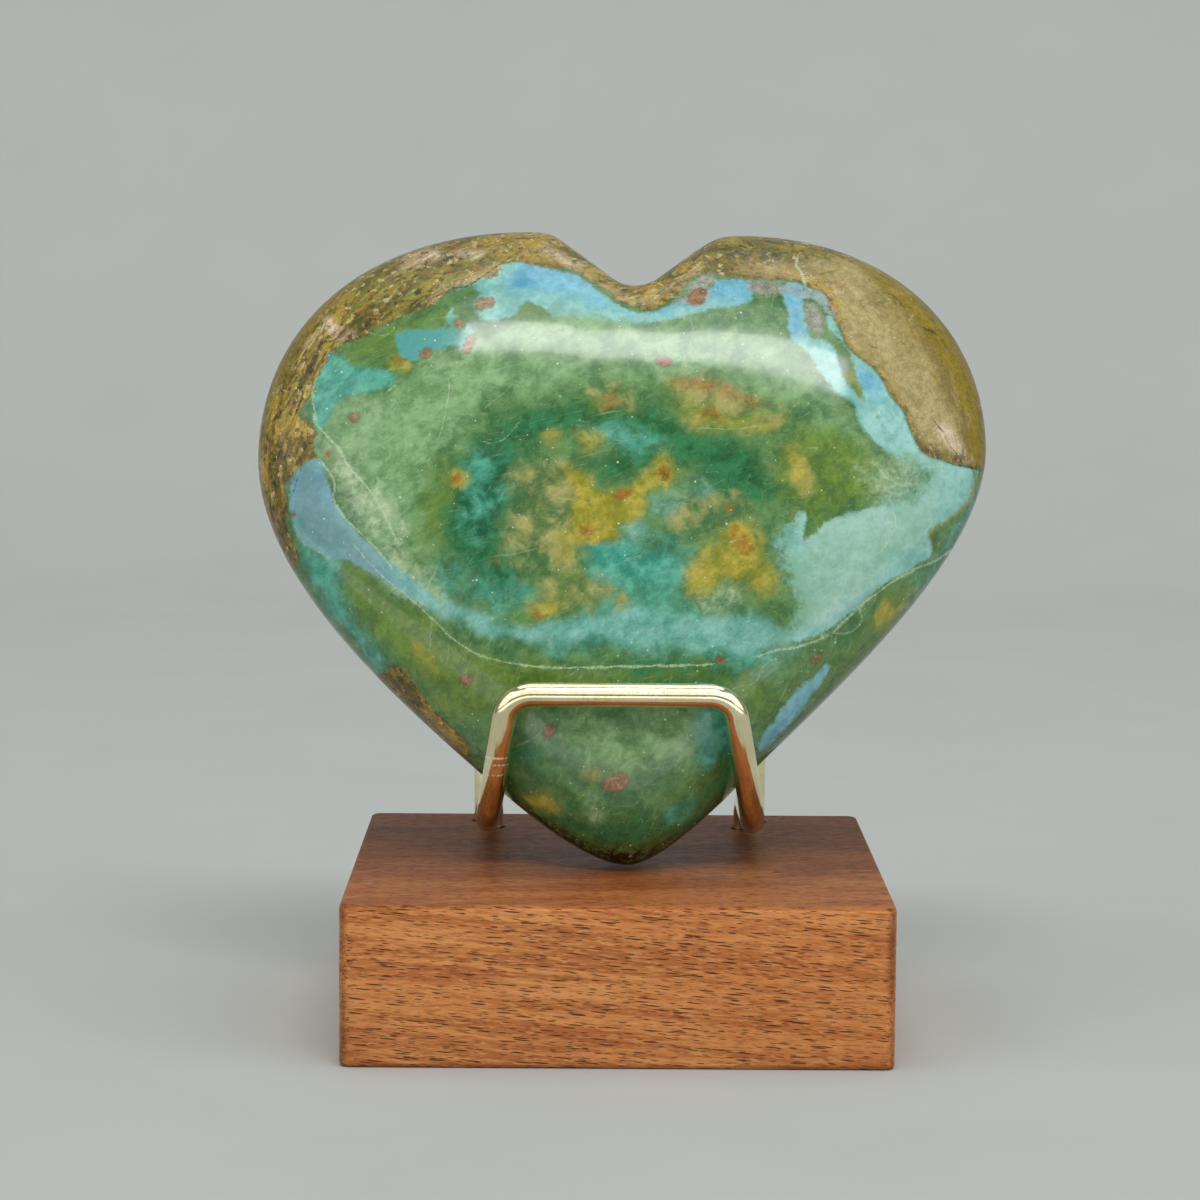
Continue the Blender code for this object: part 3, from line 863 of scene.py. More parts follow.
# Wood: its growth bands, reddish swirls, dark and light fibres, pores, the painted shade that the top is
# multiplied by from front to back, darkest at the back where the heart's shadow falls, and the singed edges
BAND_SHADES = ((188, 110, 58), (232, 156, 92))
SWIRL_TINT = (204, 120, 62)
DARK_FIBRE_TINT = (132, 66, 30)
LIGHT_FIBRE_TINT = (232, 164, 100)
PORE_TINT = (48, 18, 6)
PORE_COVER = 0.85
TOP_PAINTED_SHADE = ((206, 194, 178), (146, 124, 100))
SINGED_TINT = (74, 32, 16)
SINGED_COVER = 0.7
# How far from the edges the singed marks and the top's skin start and end, in millimetres, how far the marks
# wander, how far back the top's painted shade goes on darkening, and how strong the foot's marks are
SINGED_SIDES = (1.3, 0.1)
SINGED_FACES = (1.2, 0.1)
SINGED_FOOT = 0.9
SINGED_WAVER = 1.2
TOP_SKIN = (0.5, 0.1)
TOP_SHADOW_SHARE = 0.4
FOOT_COVER = 0.6
# How fast the wood's noises change along and across the grain, and the noises themselves
SWIRL_STRETCH = (0.3, 1.0, 1.0)
SWIRL_NOISE = (12.0, 2.0)
BAND_STRETCH = (0.04, 0.3, 1.0)
BAND_NOISE = (1.7, 3.0, 0.6, 0.3)
FIBRE_STRETCH = (0.12, 1.0, 1.0)
FIBRE_NOISE = (0.26, 3.0, 0.65)
# A pore's edge, as shares of its radius, and how rough dull wood is and where it lies in the fibre
PORE_EDGE = (0.75, 1.1)
DULL_ROUGHNESS = 0.62
DULL_FIBRE = (0.4, 0.6)
FIBRE_RISE = 0.4
PORE_DEPTH = 0.8
WOOD_FINISH = {"Specular IOR Level": 0.25}
WOOD_RELIEF = (0.6, 0.15)
# Smooth ramps: where each starts and ends, and what it gives there. A broken one is where noise breaks up
# the mark of that name.
RAMPS = {
    "sky_edge": (0.36, 0.64),
    "sky_thins": (0.1, 0.9, 1.0, 0.0),
    "matrix_edge": (0.40, 0.60),
    "bright_layer": (0.58, 0.70, 0.0, 0.8),
    "bright_layer_broken": (0.44, 0.56),
    "hollow": (0.34, 0.42, 1.0, 0.0),
    "hollow_broken": (0.46, 0.58),
    "thread": (0.0, 0.014, 0.9, 0.0),
    "thread_broken": (0.48, 0.56),
    "seam": (0.03, 0.14, 0.6, 0.0),
    "seam_broken": (0.40, 0.60),
    "painted_shade_broken": (0.42, 0.56),
    "rim": (0.18, 0.52, 0.85, 0.0),
    "speckle": (0.38, 0.62, 0.56, 1.42),
    "line": (0.3, 1.0, 1.0, 0.0),
    "line_wavers": (0.38, 0.62, 0.25, 0.85),
    "scratch": (0.0, 0.016, 1.0, 0.0),
    "scratch_broken": (0.52, 0.62),
    "pit": (0.52, 0.66),
    "brass_tone": (0.4, 0.6),
    "brass_scratch": (0.54, 0.68, 0.0, 0.4),
    "nick": (0.06, 0.18, 0.7, 0.0),
    "nick_broken": (0.40, 0.56),
    "band": (0.40, 0.60),
    "swirl": (0.42, 0.60, 0.0, 0.5),
    "dark_fibre": (0.48, 0.64, 0.0, 0.5),
    "light_fibre": (0.50, 0.64, 0.0, 0.65),
}


def even_outline():
    """The heart's outline with its points evenly spaced, from the tip round."""
    fine = []
    for span in HEART_OUTLINE:
        corners = [np.array(p) for p in span]
        fine += [bezier(*corners, t) for t in np.arange(OUTLINE_STEPS) / OUTLINE_STEPS]
    fine = np.array(fine + fine[:1])
    travel = np.append(0.0, np.cumsum(np.linalg.norm(np.diff(fine, axis=0), axis=1)))
    stops = np.linspace(0.0, travel[-1], RIM_POINTS, endpoint=False)
    return np.column_stack([np.interp(stops, travel, fine[:, axis]) for axis in (0, 1)])


def notch_fill(outline):
    """How far each point of the outline is raised to bridge the notch between the lobes."""
    x, y = outline[:, 0], outline[:, 1]
    across = np.clip((x - NOTCH_SPAN[0]) / (NOTCH_SPAN[1] - NOTCH_SPAN[0]), 0.0, 1.0)
    inside = (across > 0.0) & (across < 1.0) & (y > HEART_CENTRE[1])
    lift = np.where(inside, np.maximum(NOTCH_TOP - y, 0.0), 0.0) * np.sin(math.pi * across) ** 0.5
    return np.column_stack((np.zeros(len(x)), lift))


def share_from(share, start):
    """How far a share has come from a start to 1."""
    return min(1.0, max(0.0, (share - start) / (1.0 - start)))


def heart_ring(outline, share):
    """The outline drawn in towards the middle: towards a plain round as it nears it."""
    blend = eased(share_from(share, HEART_BLEND_START))
    outline = outline + notch_fill(outline) * (1.0 - share_from(share, NOTCH_START))
    arm = outline - HEART_CENTRE
    unit = arm / np.linalg.norm(arm, axis=1)[:, None]
    reach = 1.0 / np.linalg.norm(unit / HEART_ROUND, axis=1)[:, None]
    return HEART_CENTRE + (arm * blend + unit * (reach * (1.0 - blend))) * share


def ring_turns(count):
    """Angles up the dome from the rim to near the middle, evenly spaced along its surface."""
    turns = np.linspace(0.0, math.pi / 2, DOME_STEPS)
    share = np.cos(turns) ** (2.0 / HEART_FLATNESS)
    steps = np.hypot(np.diff(share) * HEART_ROUND.mean(), np.diff(np.sin(turns)) * HEART_HALF_THICKNESS)
    travel = np.append(0.0, np.cumsum(steps))
    return np.interp(np.linspace(0.0, travel[-1], count + 2)[1:-1], travel, turns)


def band_faces(outer, inner):
    """Faces between a ring and the next one in, which has as many points or half as many."""
    faces = []
    n = len(inner)
    for j in range(n):
        k = (j + 1) % n
        if len(outer) == n:
            faces.append((outer[j], outer[k], inner[k], inner[j]))
        else:
            a, b, c = outer[2 * j], outer[2 * j + 1], outer[2 * k]
            faces += [(a, b, inner[j]), (b, inner[k], inner[j]), (b, c, inner[k])]
    return faces


def heart_surface():
    """Points in the heart's own plane, in millimetres, and the faces between them."""
    outline = even_outline()
    points = [np.column_stack((outline, np.zeros(RIM_POINTS)))]
    faces = []
    total = RIM_POINTS
    for side, count in ((1, FRONT_RINGS), (-1, BACK_RINGS)):
        outer = list(range(RIM_POINTS))
        for turn in ring_turns(count):
            share = math.cos(turn) ** (2.0 / HEART_FLATNESS)
            halvings = min(RING_HALVINGS, int(-math.log2(share)))
            ring = heart_ring(outline[:: 2**halvings], share)
            depth = np.full(len(ring), side * HEART_HALF_THICKNESS * math.sin(turn))
            points.append(np.column_stack((ring, depth)))
            inner = list(range(total, total + len(ring)))
            total += len(ring)
            faces += [face[::side] for face in band_faces(outer, inner)]
            outer = inner
        points.append(np.array([[*HEART_CENTRE, side * HEART_HALF_THICKNESS]]))
        for j in range(len(outer)):
            faces.append((outer[j], outer[(j + 1) % len(outer)], total)[::side])
        total += 1
    return np.vstack(points), faces


def heart_in_place(flat):
    """Points of the heart's own plane set leaning back in the stand, in metres."""
    ahead = np.array((0.0, math.sin(HEART_LEAN), math.cos(HEART_LEAN)))
    outward = np.array((0.0, -math.cos(HEART_LEAN), math.sin(HEART_LEAN)))
    x, y, z = (flat[:, axis : axis + 1] for axis in range(3))
    return (HEART_FOOT + x * np.array((1.0, 0.0, 0.0)) + y * ahead + z * outward) * MM


def marking_sheet(flat, placed):
    """Where each point of the heart lies on the sheet. The back takes a turned and stirred copy of it."""
    x, y = on_sheet(placed)
    hidden = eased(np.clip(-flat[:, 2] / BACK_BLEND, 0.0, 1.0))
    turn = BACK_TURN * hidden
    dx, dy = x - BACK_PIVOT[0], y - BACK_PIVOT[1]
    x = BACK_PIVOT[0] + dx * np.cos(turn) - dy * np.sin(turn)
    y = BACK_PIVOT[1] + dx * np.sin(turn) + dy * np.cos(turn)
    stir_x, stir_y = (lumpy_noise(flat, BACK_LUMP, seed) for seed in BACK_SEEDS)
    return x + hidden * BACK_STIR * stir_x, y + hidden * BACK_STIR * stir_y


def crisp_mask(x, y, loops):
    """From 0 outside the loops to 1 inside, in a straight ramp across each edge."""
    depth = np.full(x.shape, -CRISP_REACH)
    for loop in loops:
        depth = np.maximum(depth, loop_depth(x, y, smooth_curve(loop, True, CRISP_STEPS), CRISP_REACH))
    return 0.5 + np.clip(depth, -CRISP_REACH, CRISP_REACH) / (2 * CRISP_REACH)


def cloud_mask(x, y, clouds):
    """Soft clouds laid over one another."""
    clear = np.ones(x.shape)
    for soft, strength, loop in clouds:
        reach = soft * CLOUD_SOFTNESS
        depth = loop_depth(x, y, smooth_curve(loop, True, CLOUD_STEPS), reach)
        clear = clear * (1.0 - strength * eased(np.clip(0.5 + depth / reach, 0.0, 1.0)))
    return 1.0 - clear


def line_masks(x, y, lines):
    """Signed distance to the nearest line, how strongly a line is near, and its width."""
    best = np.full(x.shape, LINE_REACH)
    side = np.full(x.shape, 1.0)
    near = np.zeros(x.shape)
    wide = np.ones(x.shape)
    for width, strength, points in lines:
        curve = smooth_curve(points, False, LINE_STEPS)
        spots = spots_near(x, y, curve, LINE_REACH)
        px, py = x[spots], y[spots]
        for start, end in zip(curve[:-1], curve[1:]):
            away = np.hypot(*from_stretch(px, py, start, end))
            closer = away < best[spots]
            hit = spots[closer]
            best[hit] = away[closer]
            (ex, ey), (ax, ay) = end - start, start
            cross = ex * (py[closer] - ay) - ey * (px[closer] - ax)
            side[hit] = np.where(cross < 0.0, -1.0, 1.0)
            near[hit] = strength
            wide[hit] = width
    near = near * np.exp(-((best / LINE_FADE) ** 2))
    return side * best / LINE_REACH, near, wide / LINE_REACH


def stone_masks(flat, placed):
    """Every marking of the stone as a value at each point."""
    x, y = marking_sheet(flat, placed)
    jog_x, jog_y = (lumpy_noise(flat, JOG_LUMP, seed) for seed in JOG_SEEDS)
    crisp = (x + JOG_REACH * jog_x, y + JOG_REACH * jog_y)
    loose_x, loose_y = (LOOSE_REACH * lumpy_noise(flat, LOOSE_LUMP, seed) for seed in LOOSE_SEEDS)
    loose = (x + loose_x + LOOSE_JOG * jog_x, y + loose_y + LOOSE_JOG * jog_y)
    masks = {name: crisp_mask(*crisp, loops) for name, loops in CRISP_MARKS.items()}
    masks.update({name: cloud_mask(*loose, clouds) for name, clouds in CLOUD_MARKS.items()})
    for name, lines in (("vein", VEINS), ("crack", CRACKS)):
        side, near, wide = line_masks(*crisp, lines)
        masks.update({f"{name}_side": side, f"{name}_near": near, f"{name}_width": wide})
    masks["rim"] = np.abs(flat[:, 2]) / HEART_HALF_THICKNESS
    arm = flat[:, :2] - HEART_CENTRE
    masks["flow_along"] = FLOW_LENGTH * np.abs(np.arctan2(arm[:, 0], arm[:, 1]))
    masks["flow_across"] = np.hypot(arm[:, 0], arm[:, 1])
    masks["flow_side"] = FLOW_DRIFT * arm[:, 0] + flat[:, 2]
    return masks


def colour(*parts):
    """A colour given from 0 to 255, as the linear value that a shader takes."""
    shares = [part / 255.0 for part in parts]
    return (*[s / 12.92 if s <= 0.04045 else ((s + 0.055) / 1.055) ** 2.4 for s in shares], 1.0)


class Painter:
    """Short names for the nodes that a material is made of."""

    def __init__(self, material):
        material.use_nodes = True
        self.tree = material.node_tree
        self.tree.nodes.clear()
        self.count = 0

    def node(self, kind, **settings):
        made = self.tree.nodes.new(kind)
        made.location = (220 * (self.count % 12), -260 * (self.count // 12))
        self.count += 1
        for key, value in settings.items():
            setattr(made, key, value)
        return made

    def feed(self, socket, value):
        if isinstance(value, bpy.types.NodeSocket):
            self.tree.links.new(value, socket)
        else:
            socket.default_value = value

    def math(self, operation, a, b=0.0, c=0.0, clamp=False):
        made = self.node("ShaderNodeMath", operation=operation, use_clamp=clamp)
        for socket, value in zip(made.inputs, (a, b, c)):
            self.feed(socket, value)
        return made.outputs[0]

    def plus(self, a, b):
        return self.math("ADD", a, b)

    def times(self, a, b):
        return self.math("MULTIPLY", a, b)

    def times_plus(self, a, b, c, clamp=False):
        return self.math("MULTIPLY_ADD", a, b, c, clamp)

    def largest(self, first, *others):
        for other in others:
            first = self.math("MAXIMUM", first, other)
        return first

    def away(self, value, middle):
        """How far a value is from a middle one, either way."""
        return self.math("ABSOLUTE", self.math("SUBTRACT", value, middle))

    def mix(self, share, a, b, blend="MIX"):
        made = self.node("ShaderNodeMix", data_type="RGBA", blend_type=blend)
        for socket, value in zip((made.inputs[0], made.inputs[6], made.inputs[7]), (share, a, b)):
            self.feed(socket, value)
        return made.outputs[2]

    def stain(self, share, tint, stained):
        """A tint with a plain colour laid over a share of it."""
        return self.mix(share, tint, colour(*stained))

    def step(self, value, low, high, start=0.0, end=1.0):
        made = self.node("ShaderNodeMapRange", interpolation_type="SMOOTHSTEP")
        for socket, given in zip(made.inputs, (value, low, high, start, end)):
            self.feed(socket, given)
        return made.outputs[0]

    def ramp(self, name, value):
        """The value through one of the named ramps."""
        return self.step(value, *RAMPS[name])

    def place(self, scale=(1.0, 1.0, 1.0), turn=(0.0, 0.0, 0.0)):
        """The object's own place in millimetres, turned and stretched."""
        spot = self.node("ShaderNodeTexCoord").outputs["Object"]
        made = self.node("ShaderNodeMapping", vector_type="TEXTURE")
        made.inputs["Rotation"].default_value = turn
        made.inputs["Scale"].default_value = [MM / s for s in scale]
        self.feed(made.inputs["Vector"], spot)
        return made.outputs[0]

    def noise(self, place, size, detail=3.0, rough=0.55, stir=0.0):
        """Three unlike noises, lumps about size millimetres across."""
        made = self.node("ShaderNodeTexNoise")
        self.feed(made.inputs["Vector"], place)
        values = {"Scale": 1.0 / size, "Detail": detail, "Roughness": rough, "Distortion": stir}
        for name, value in values.items():
            made.inputs[name].default_value = value
        return self.split(made.outputs["Color"])

    def joined(self, *parts):
        """Three numbers as one place."""
        made = self.node("ShaderNodeCombineXYZ")
        for socket, value in zip(made.inputs, parts):
            self.feed(socket, value)
        return made.outputs[0]

    def split(self, mixed):
        """A colour's three parts."""
        parts = self.node("ShaderNodeSeparateColor")
        self.feed(parts.inputs[0], mixed)
        return tuple(parts.outputs)

    def stirred(self, place, size, reach):
        """The place pushed about by noise, up to about reach millimetres."""
        made = self.node("ShaderNodeTexNoise")
        self.feed(made.inputs["Vector"], place)
        made.inputs["Scale"].default_value = 1.0 / size
        push = self.node("ShaderNodeVectorMath", operation="SCALE")
        self.feed(push.inputs[0], made.outputs["Color"])
        push.inputs["Scale"].default_value = reach
        total = self.node("ShaderNodeVectorMath", operation="ADD")
        self.feed(total.inputs[0], place)
        self.feed(total.inputs[1], push.outputs[0])
        return total.outputs[0]

    def cells(self, place, size):
        """Cells about size millimetres across: how far their middles are, and three chances for each."""
        made = self.node("ShaderNodeTexVoronoi", feature="F1")
        self.feed(made.inputs["Vector"], place)
        made.inputs["Scale"].default_value = 1.0 / size
        return made.outputs["Distance"], self.split(made.outputs["Color"])

    def mark(self, name):
        return self.node("ShaderNodeAttribute", attribute_name=name).outputs["Fac"]

    def finish(self, tint, rough, settings, height=None, relief=(0.0, 0.0)):
        """The surface. The relief of its height is given as a strength and a depth in millimetres."""
        shader = self.node("ShaderNodeBsdfPrincipled")
        self.feed(shader.inputs["Base Color"], tint)
        self.feed(shader.inputs["Roughness"], rough)
        for name, value in settings.items():
            shader.inputs[name].default_value = value
        if height is not None:
            bump = self.node("ShaderNodeBump")
            bump.inputs["Strength"].default_value = relief[0]
            bump.inputs["Distance"].default_value = relief[1] * MM
            self.feed(bump.inputs["Height"], height)
            self.feed(shader.inputs["Normal"], bump.outputs[0])
        out = self.node("ShaderNodeOutputMaterial")
        self.tree.links.new(shader.outputs[0], out.inputs["Surface"])


class StonePainter(Painter):
    """The noises and shades that every part of the stone's look shares."""

    def __init__(self, material):
        super().__init__(material)
        self.spot = self.place()
        noises = [self.noise(self.spot, *values) for values in STONE_NOISES]
        self.broad, self.lumps, self.small, self.grit = noises
        self.coarse = self.times_plus(self.largest(self.mark("mustard"), self.mark("tan")), -CALM, 1.0)
        fine = self.times_plus(self.grit[1], RAGGED_GRIT, -(RAGGED_SMALL + RAGGED_GRIT) / 2)
        self.ragged = self.times_plus(self.small[1], RAGGED_SMALL, fine)

    def two_tone(self, light, dark, first, second, spread=TONE_SPREAD):
        """From a dark shade to a light one, by a coarse and a fine noise."""
        blend = self.times_plus(first, COARSE_SHARE, self.times(second, 1.0 - COARSE_SHARE))
        return self.mix(self.step(blend, 0.5 - spread, 0.5 + spread), colour(*dark), colour(*light))

    def cloud(self, name, grain, bite):
        """A cloud's cover, broken up by grain where it is half there."""
        cover = self.mark(name)
        edge = self.times(cover, self.math("SUBTRACT", 1.0, cover))
        push = self.times(self.math("SUBTRACT", grain, 0.5), bite * GRAIN_PUSH)
        return self.times_plus(edge, push, cover, clamp=True)


def body_tint(stone):
    """Green stone under soft clouds of pigment."""
    tint = stone.two_tone(*BODY_SHADES, stone.lumps[0], stone.small[0])
    for name, light, dark, (grain, channel), bite, soft in CLOUD_PIGMENTS:
        shade = stone.two_tone(light, dark, stone.lumps[channel], stone.small[(channel + 1) % 3])
        cover = stone.cloud(name, getattr(stone, grain)[channel], bite)
        tint = stone.mix(stone.step(cover, 0.5 - soft, 0.5 + soft), tint, shade)
    return tint


def sky_tint(stone):
    """Sky blue, with deeper, paler and greener places in it."""
    tint = stone.two_tone(*SKY_SHADES, stone.lumps[2], stone.small[0])
    for name, light, dark, channel in SKY_PIGMENTS:
        shade = stone.two_tone(light, dark, stone.broad[channel], stone.small[channel])
        tint = stone.mix(stone.cloud(name, stone.lumps[channel], SKY_BITE), tint, shade)
    return tint


def matrix_tint(stone):
    """Brown matrix: layers that follow the outline, with grains, bright streaks and dark threads."""
    flow = stone.joined(stone.mark("flow_along"), stone.mark("flow_across"), stone.mark("flow_side"))
    layers = stone.noise(flow, *LAYER_NOISE)
    threads = stone.noise(flow, *THREAD_NOISE)
    tint = stone.two_tone(*MATRIX_SHADES, layers[0], threads[1], LAYER_SPREAD)
    for name, light, dark in MATRIX_PIGMENTS:
        shade = stone.two_tone(light, dark, layers[1], stone.grit[1], PATCH_SPREAD)
        tint = stone.mix(stone.cloud(name, layers[2], MATRIX_BITE), tint, shade)
    chances = stone.cells(stone.stirred(stone.spot, GRAIN_STIR_SIZE, GRAIN_STIR_REACH), GRAIN_SIZE)[1]
    for channel, rare, share, grain_tint in MATRIX_GRAINS:
        chosen = stone.times(stone.step(chances[channel], rare, GRAIN_SURE, 0.0, share), stone.coarse)
        tint = stone.stain(chosen, tint, grain_tint)
    thread = stone.away(layers[0], 0.5)
    for name, along, across, streak_tint in (
        ("bright_layer", layers[2], threads[1], BRIGHT_LAYER_TINT),
        ("hollow", threads[0], layers[1], HOLLOW_TINT),
        ("thread", thread, threads[2], THREAD_TINT),
    ):
        streak = stone.times(stone.ramp(name, along), stone.ramp(f"{name}_broken", across))
        tint = stone.stain(stone.times(streak, stone.coarse), tint, streak_tint)
    return tint


def edge_stains_and_tip_shade(stone, tint, matrix_value):
    """The seam round the matrix, the small crisp patches with their rings, and the painted shade under the
    tip.
    """
    seam = stone.ramp("seam", stone.away(matrix_value, 0.5))
    tint = stone.stain(stone.times(seam, stone.ramp("seam_broken", stone.small[2])), tint, SEAM_TINT)
    for name, light, dark, low, high, cover, ring in CRISP_PIGMENTS:
        value = stone.plus(stone.mark(name), stone.ragged)
        shade = stone.two_tone(light, dark, stone.small[0], stone.grit[0])
        tint = stone.mix(stone.step(value, low, high, 0.0, cover), tint, shade)
        tint = stone.stain(stone.step(stone.away(value, 0.5), *RING_REACH, ring, 0.0), tint, RING_TINT)
    # Painted shade under the tip and at a few places near the edge
    shade = stone.times(stone.mark("shade"), stone.ramp("painted_shade_broken", stone.small[2]))
    return stone.stain(shade, tint, PAINTED_SHADE_TINT)


def rim_shade(stone, tint):
    """Painted shade: the rim is darkened all round, where the surface turns away from the light."""
    share = stone.ramp("rim", stone.times_plus(stone.lumps[2], RIM_SHADE_WAVER, stone.mark("rim")))
    return stone.mix(share, tint, stone.mix(RIM_SHADE_COVER, tint, colour(*RIM_SHADE_TINT), "MULTIPLY"))


def fine_grain(stone, tint, matrix_share, sky_share):
    """Brushed grain over everything, strongest in the matrix and faint in the sky blue."""
    brushed = stone.noise(stone.place(*BRUSHED_PLACE), *BRUSHED_NOISE)
    speckle = stone.times_plus(brushed[0], BRUSHED_SHARE, stone.times(stone.grit[0], 1.0 - BRUSHED_SHARE))
    force = stone.times_plus(stone.times(matrix_share, stone.coarse), MATRIX_GRAIN - BODY_GRAIN, BODY_GRAIN)
    force = stone.math("SUBTRACT", force, stone.times(sky_share, BODY_GRAIN - SKY_GRAIN))
    return stone.mix(force, tint, stone.mix(1.0, tint, stone.ramp("speckle", speckle), "MULTIPLY"))


def veins_and_cracks(stone, tint):
    """Pale veins and dark cracks, wavering in width and fading in places."""
    for name, strength, line_tint in LINE_TINTS:
        wide = stone.times(stone.mark(f"{name}_width"), stone.ramp("line_wavers", stone.small[2]))
        side = stone.math("ABSOLUTE", stone.mark(f"{name}_side"))
        line = stone.ramp("line", stone.math("DIVIDE", side, wide))
        share = stone.times(line, stone.mark(f"{name}_near"))
        share = stone.times(share, stone.step(stone.grit[2], *LINE_BREAKS, strength))
        tint = stone.stain(share, tint, line_tint)
    return tint


def specks_and_scratches(stone, tint):
    """Pale specks in the stone, partly painted glints of its polish, and hairline scratches in its polish.
    """
    # Pale specks, partly painted glints of the polish
    for cell, rare, size, speck_and_glint_tint in SPECKS_AND_GLINTS:
        distance, chances = stone.cells(stone.spot, cell)
        spot = stone.step(distance, size * 0.5, size, SPECK_COVER, 0.0)
        tint = stone.stain(stone.times(spot, stone.math("GREATER_THAN", chances[0], rare)), tint, speck_and_glint_tint)
    hairs = []
    for turn in SCRATCH_TURNS:
        lines = stone.noise(stone.place(SCRATCH_STRETCH, (0.0, turn, 0.0)), *SCRATCH_NOISE)
        hair = stone.ramp("scratch", stone.away(lines[0], 0.5))
        hairs.append(stone.times(hair, stone.ramp("scratch_broken", lines[1])))
    return stone.stain(stone.times(stone.largest(*hairs), SCRATCH_COVER), tint, SCRATCH_TINT)


def opal_material(settings):
    """Green and blue opal: clouds of pigment, crisp seams of matrix, veins, cracks and a high polish."""
    material = bpy.data.materials.new("opal_polished")
    stone = StonePainter(material)
    thin = stone.ramp("sky_thins", stone.cloud("sky_fade", stone.small[0], SKY_FADE_BITE))
    sky_share = stone.times(stone.ramp("sky_edge", stone.plus(stone.mark("sky"), stone.ragged)), thin)
    matrix_value = stone.plus(stone.mark("matrix"), stone.ragged)
    matrix_share = stone.ramp("matrix_edge", matrix_value)
    tint = stone.mix(sky_share, body_tint(stone), sky_tint(stone))
    tint = stone.mix(matrix_share, tint, matrix_tint(stone))
    tint = edge_stains_and_tip_shade(stone, tint, matrix_value)
    tint = rim_shade(stone, tint)
    tint = fine_grain(stone, tint, matrix_share, sky_share)
    tint = veins_and_cracks(stone, tint)
    tint = specks_and_scratches(stone, tint)
    rough = stone.step(stone.grit[1], *WORN_PLACES, settings.polish, settings.polish + OPAL_WEAR)
    rough = stone.times_plus(matrix_share, MATRIX_ROUGHER, rough)
    pits = stone.times(stone.ramp("pit", stone.grit[2]), matrix_share)
    height = stone.times_plus(pits, -PIT_DEPTH, stone.times(stone.lumps[0], LUMP_RISE))
    stone.finish(tint, rough, OPAL_FINISH, height, OPAL_RELIEF)
    return material


def brass_material(settings):
    """Bright drawn brass wire with fine scratches, and nicks round the front of its left leg painted
    near-white as glints.
    """
    material = bpy.data.materials.new("brass_bright")
    paint = Painter(material)
    place = paint.place()
    broad = paint.noise(place, *BRASS_BROAD_NOISE)
    fine = paint.noise(paint.place(*BRASS_FINE_PLACE), *BRASS_FINE_NOISE)
    tint = paint.mix(paint.ramp("brass_tone", broad[0]), *[colour(*shade) for shade in BRASS_SHADES])
    tint = paint.stain(paint.ramp("brass_scratch", fine[0]), tint, BRASS_SCRATCH_TINT)
    x, y, z = paint.split(place)
    nicked = paint.largest(*[paint.ramp("nick", paint.away(z, height)) for height in NICK_HEIGHTS])
    on_leg = paint.times(paint.math("LESS_THAN", x, NICK_SIDE), paint.math("LESS_THAN", y, NICK_DEPTH))
    nicked = paint.times(paint.times(nicked, on_leg), paint.ramp("nick_broken", fine[2]))
    # Painted glint: the nicks are coloured near-white
    tint = paint.stain(nicked, tint, NICK_GLINT_TINT)
    rough = paint.step(fine[1], *WORN_PLACES, settings.polish, settings.polish + BRASS_WEAR)
    rough = paint.times_plus(nicked, NICK_ROUGHER, rough, clamp=True)
    paint.finish(tint, rough, BRASS_FINISH, fine[2], BRASS_RELIEF)
    return material


def wood_pores(paint, usual_length):
    """Where the open pores are, drawn out along the grain."""
    shares = []
    for stretch, size, rare, reach in PORES:
        place = paint.place((stretch, 1.0, 1.0), GRAIN_SLANT)
        distance, chances = paint.cells(place, size * usual_length / PORE_LENGTH)
        pore = paint.step(distance, *[reach * share for share in PORE_EDGE], 1.0, 0.0)
        shares.append(paint.times(pore, paint.math("GREATER_THAN", chances[0], rare)))
    return paint.largest(*shares)


def shaded_top_and_singed_edges(paint, tint, place, wander):
    """Painted shade: the top is darker and redder, most towards the back where the heart's shadow falls. The
    upright edges are singed dark by the saw, and the foot is darkened.
    """
    x, y, z = paint.split(place)
    waver = paint.times_plus(wander, SINGED_WAVER, -SINGED_WAVER / 2)
    half = BLOCK_SIDE / 2
    on_top = paint.step(z, *[BLOCK_HEIGHT - skin for skin in TOP_SKIN])
    # Painted shade: the top darkens from front to back, where the heart's shadow falls
    top_shade = paint.mix(paint.step(y, -half, half * TOP_SHADOW_SHARE), *[colour(*shade) for shade in TOP_PAINTED_SHADE])
    tint = paint.mix(on_top, tint, paint.mix(1.0, tint, top_shade, "MULTIPLY"))
    beside = paint.plus(paint.math("ABSOLUTE", x), waver)
    edge_x = paint.step(beside, *[half - reach for reach in SINGED_SIDES])
    edge_y = paint.step(paint.math("ABSOLUTE", y), *[half - reach for reach in SINGED_FACES])
    foot = paint.step(paint.plus(z, waver), 0.0, SINGED_FOOT, 1.0, 0.0)
    singed = paint.largest(paint.times(edge_x, edge_y), paint.times(foot, FOOT_COVER))
    return paint.stain(paint.times(singed, SINGED_COVER), tint, SINGED_TINT)


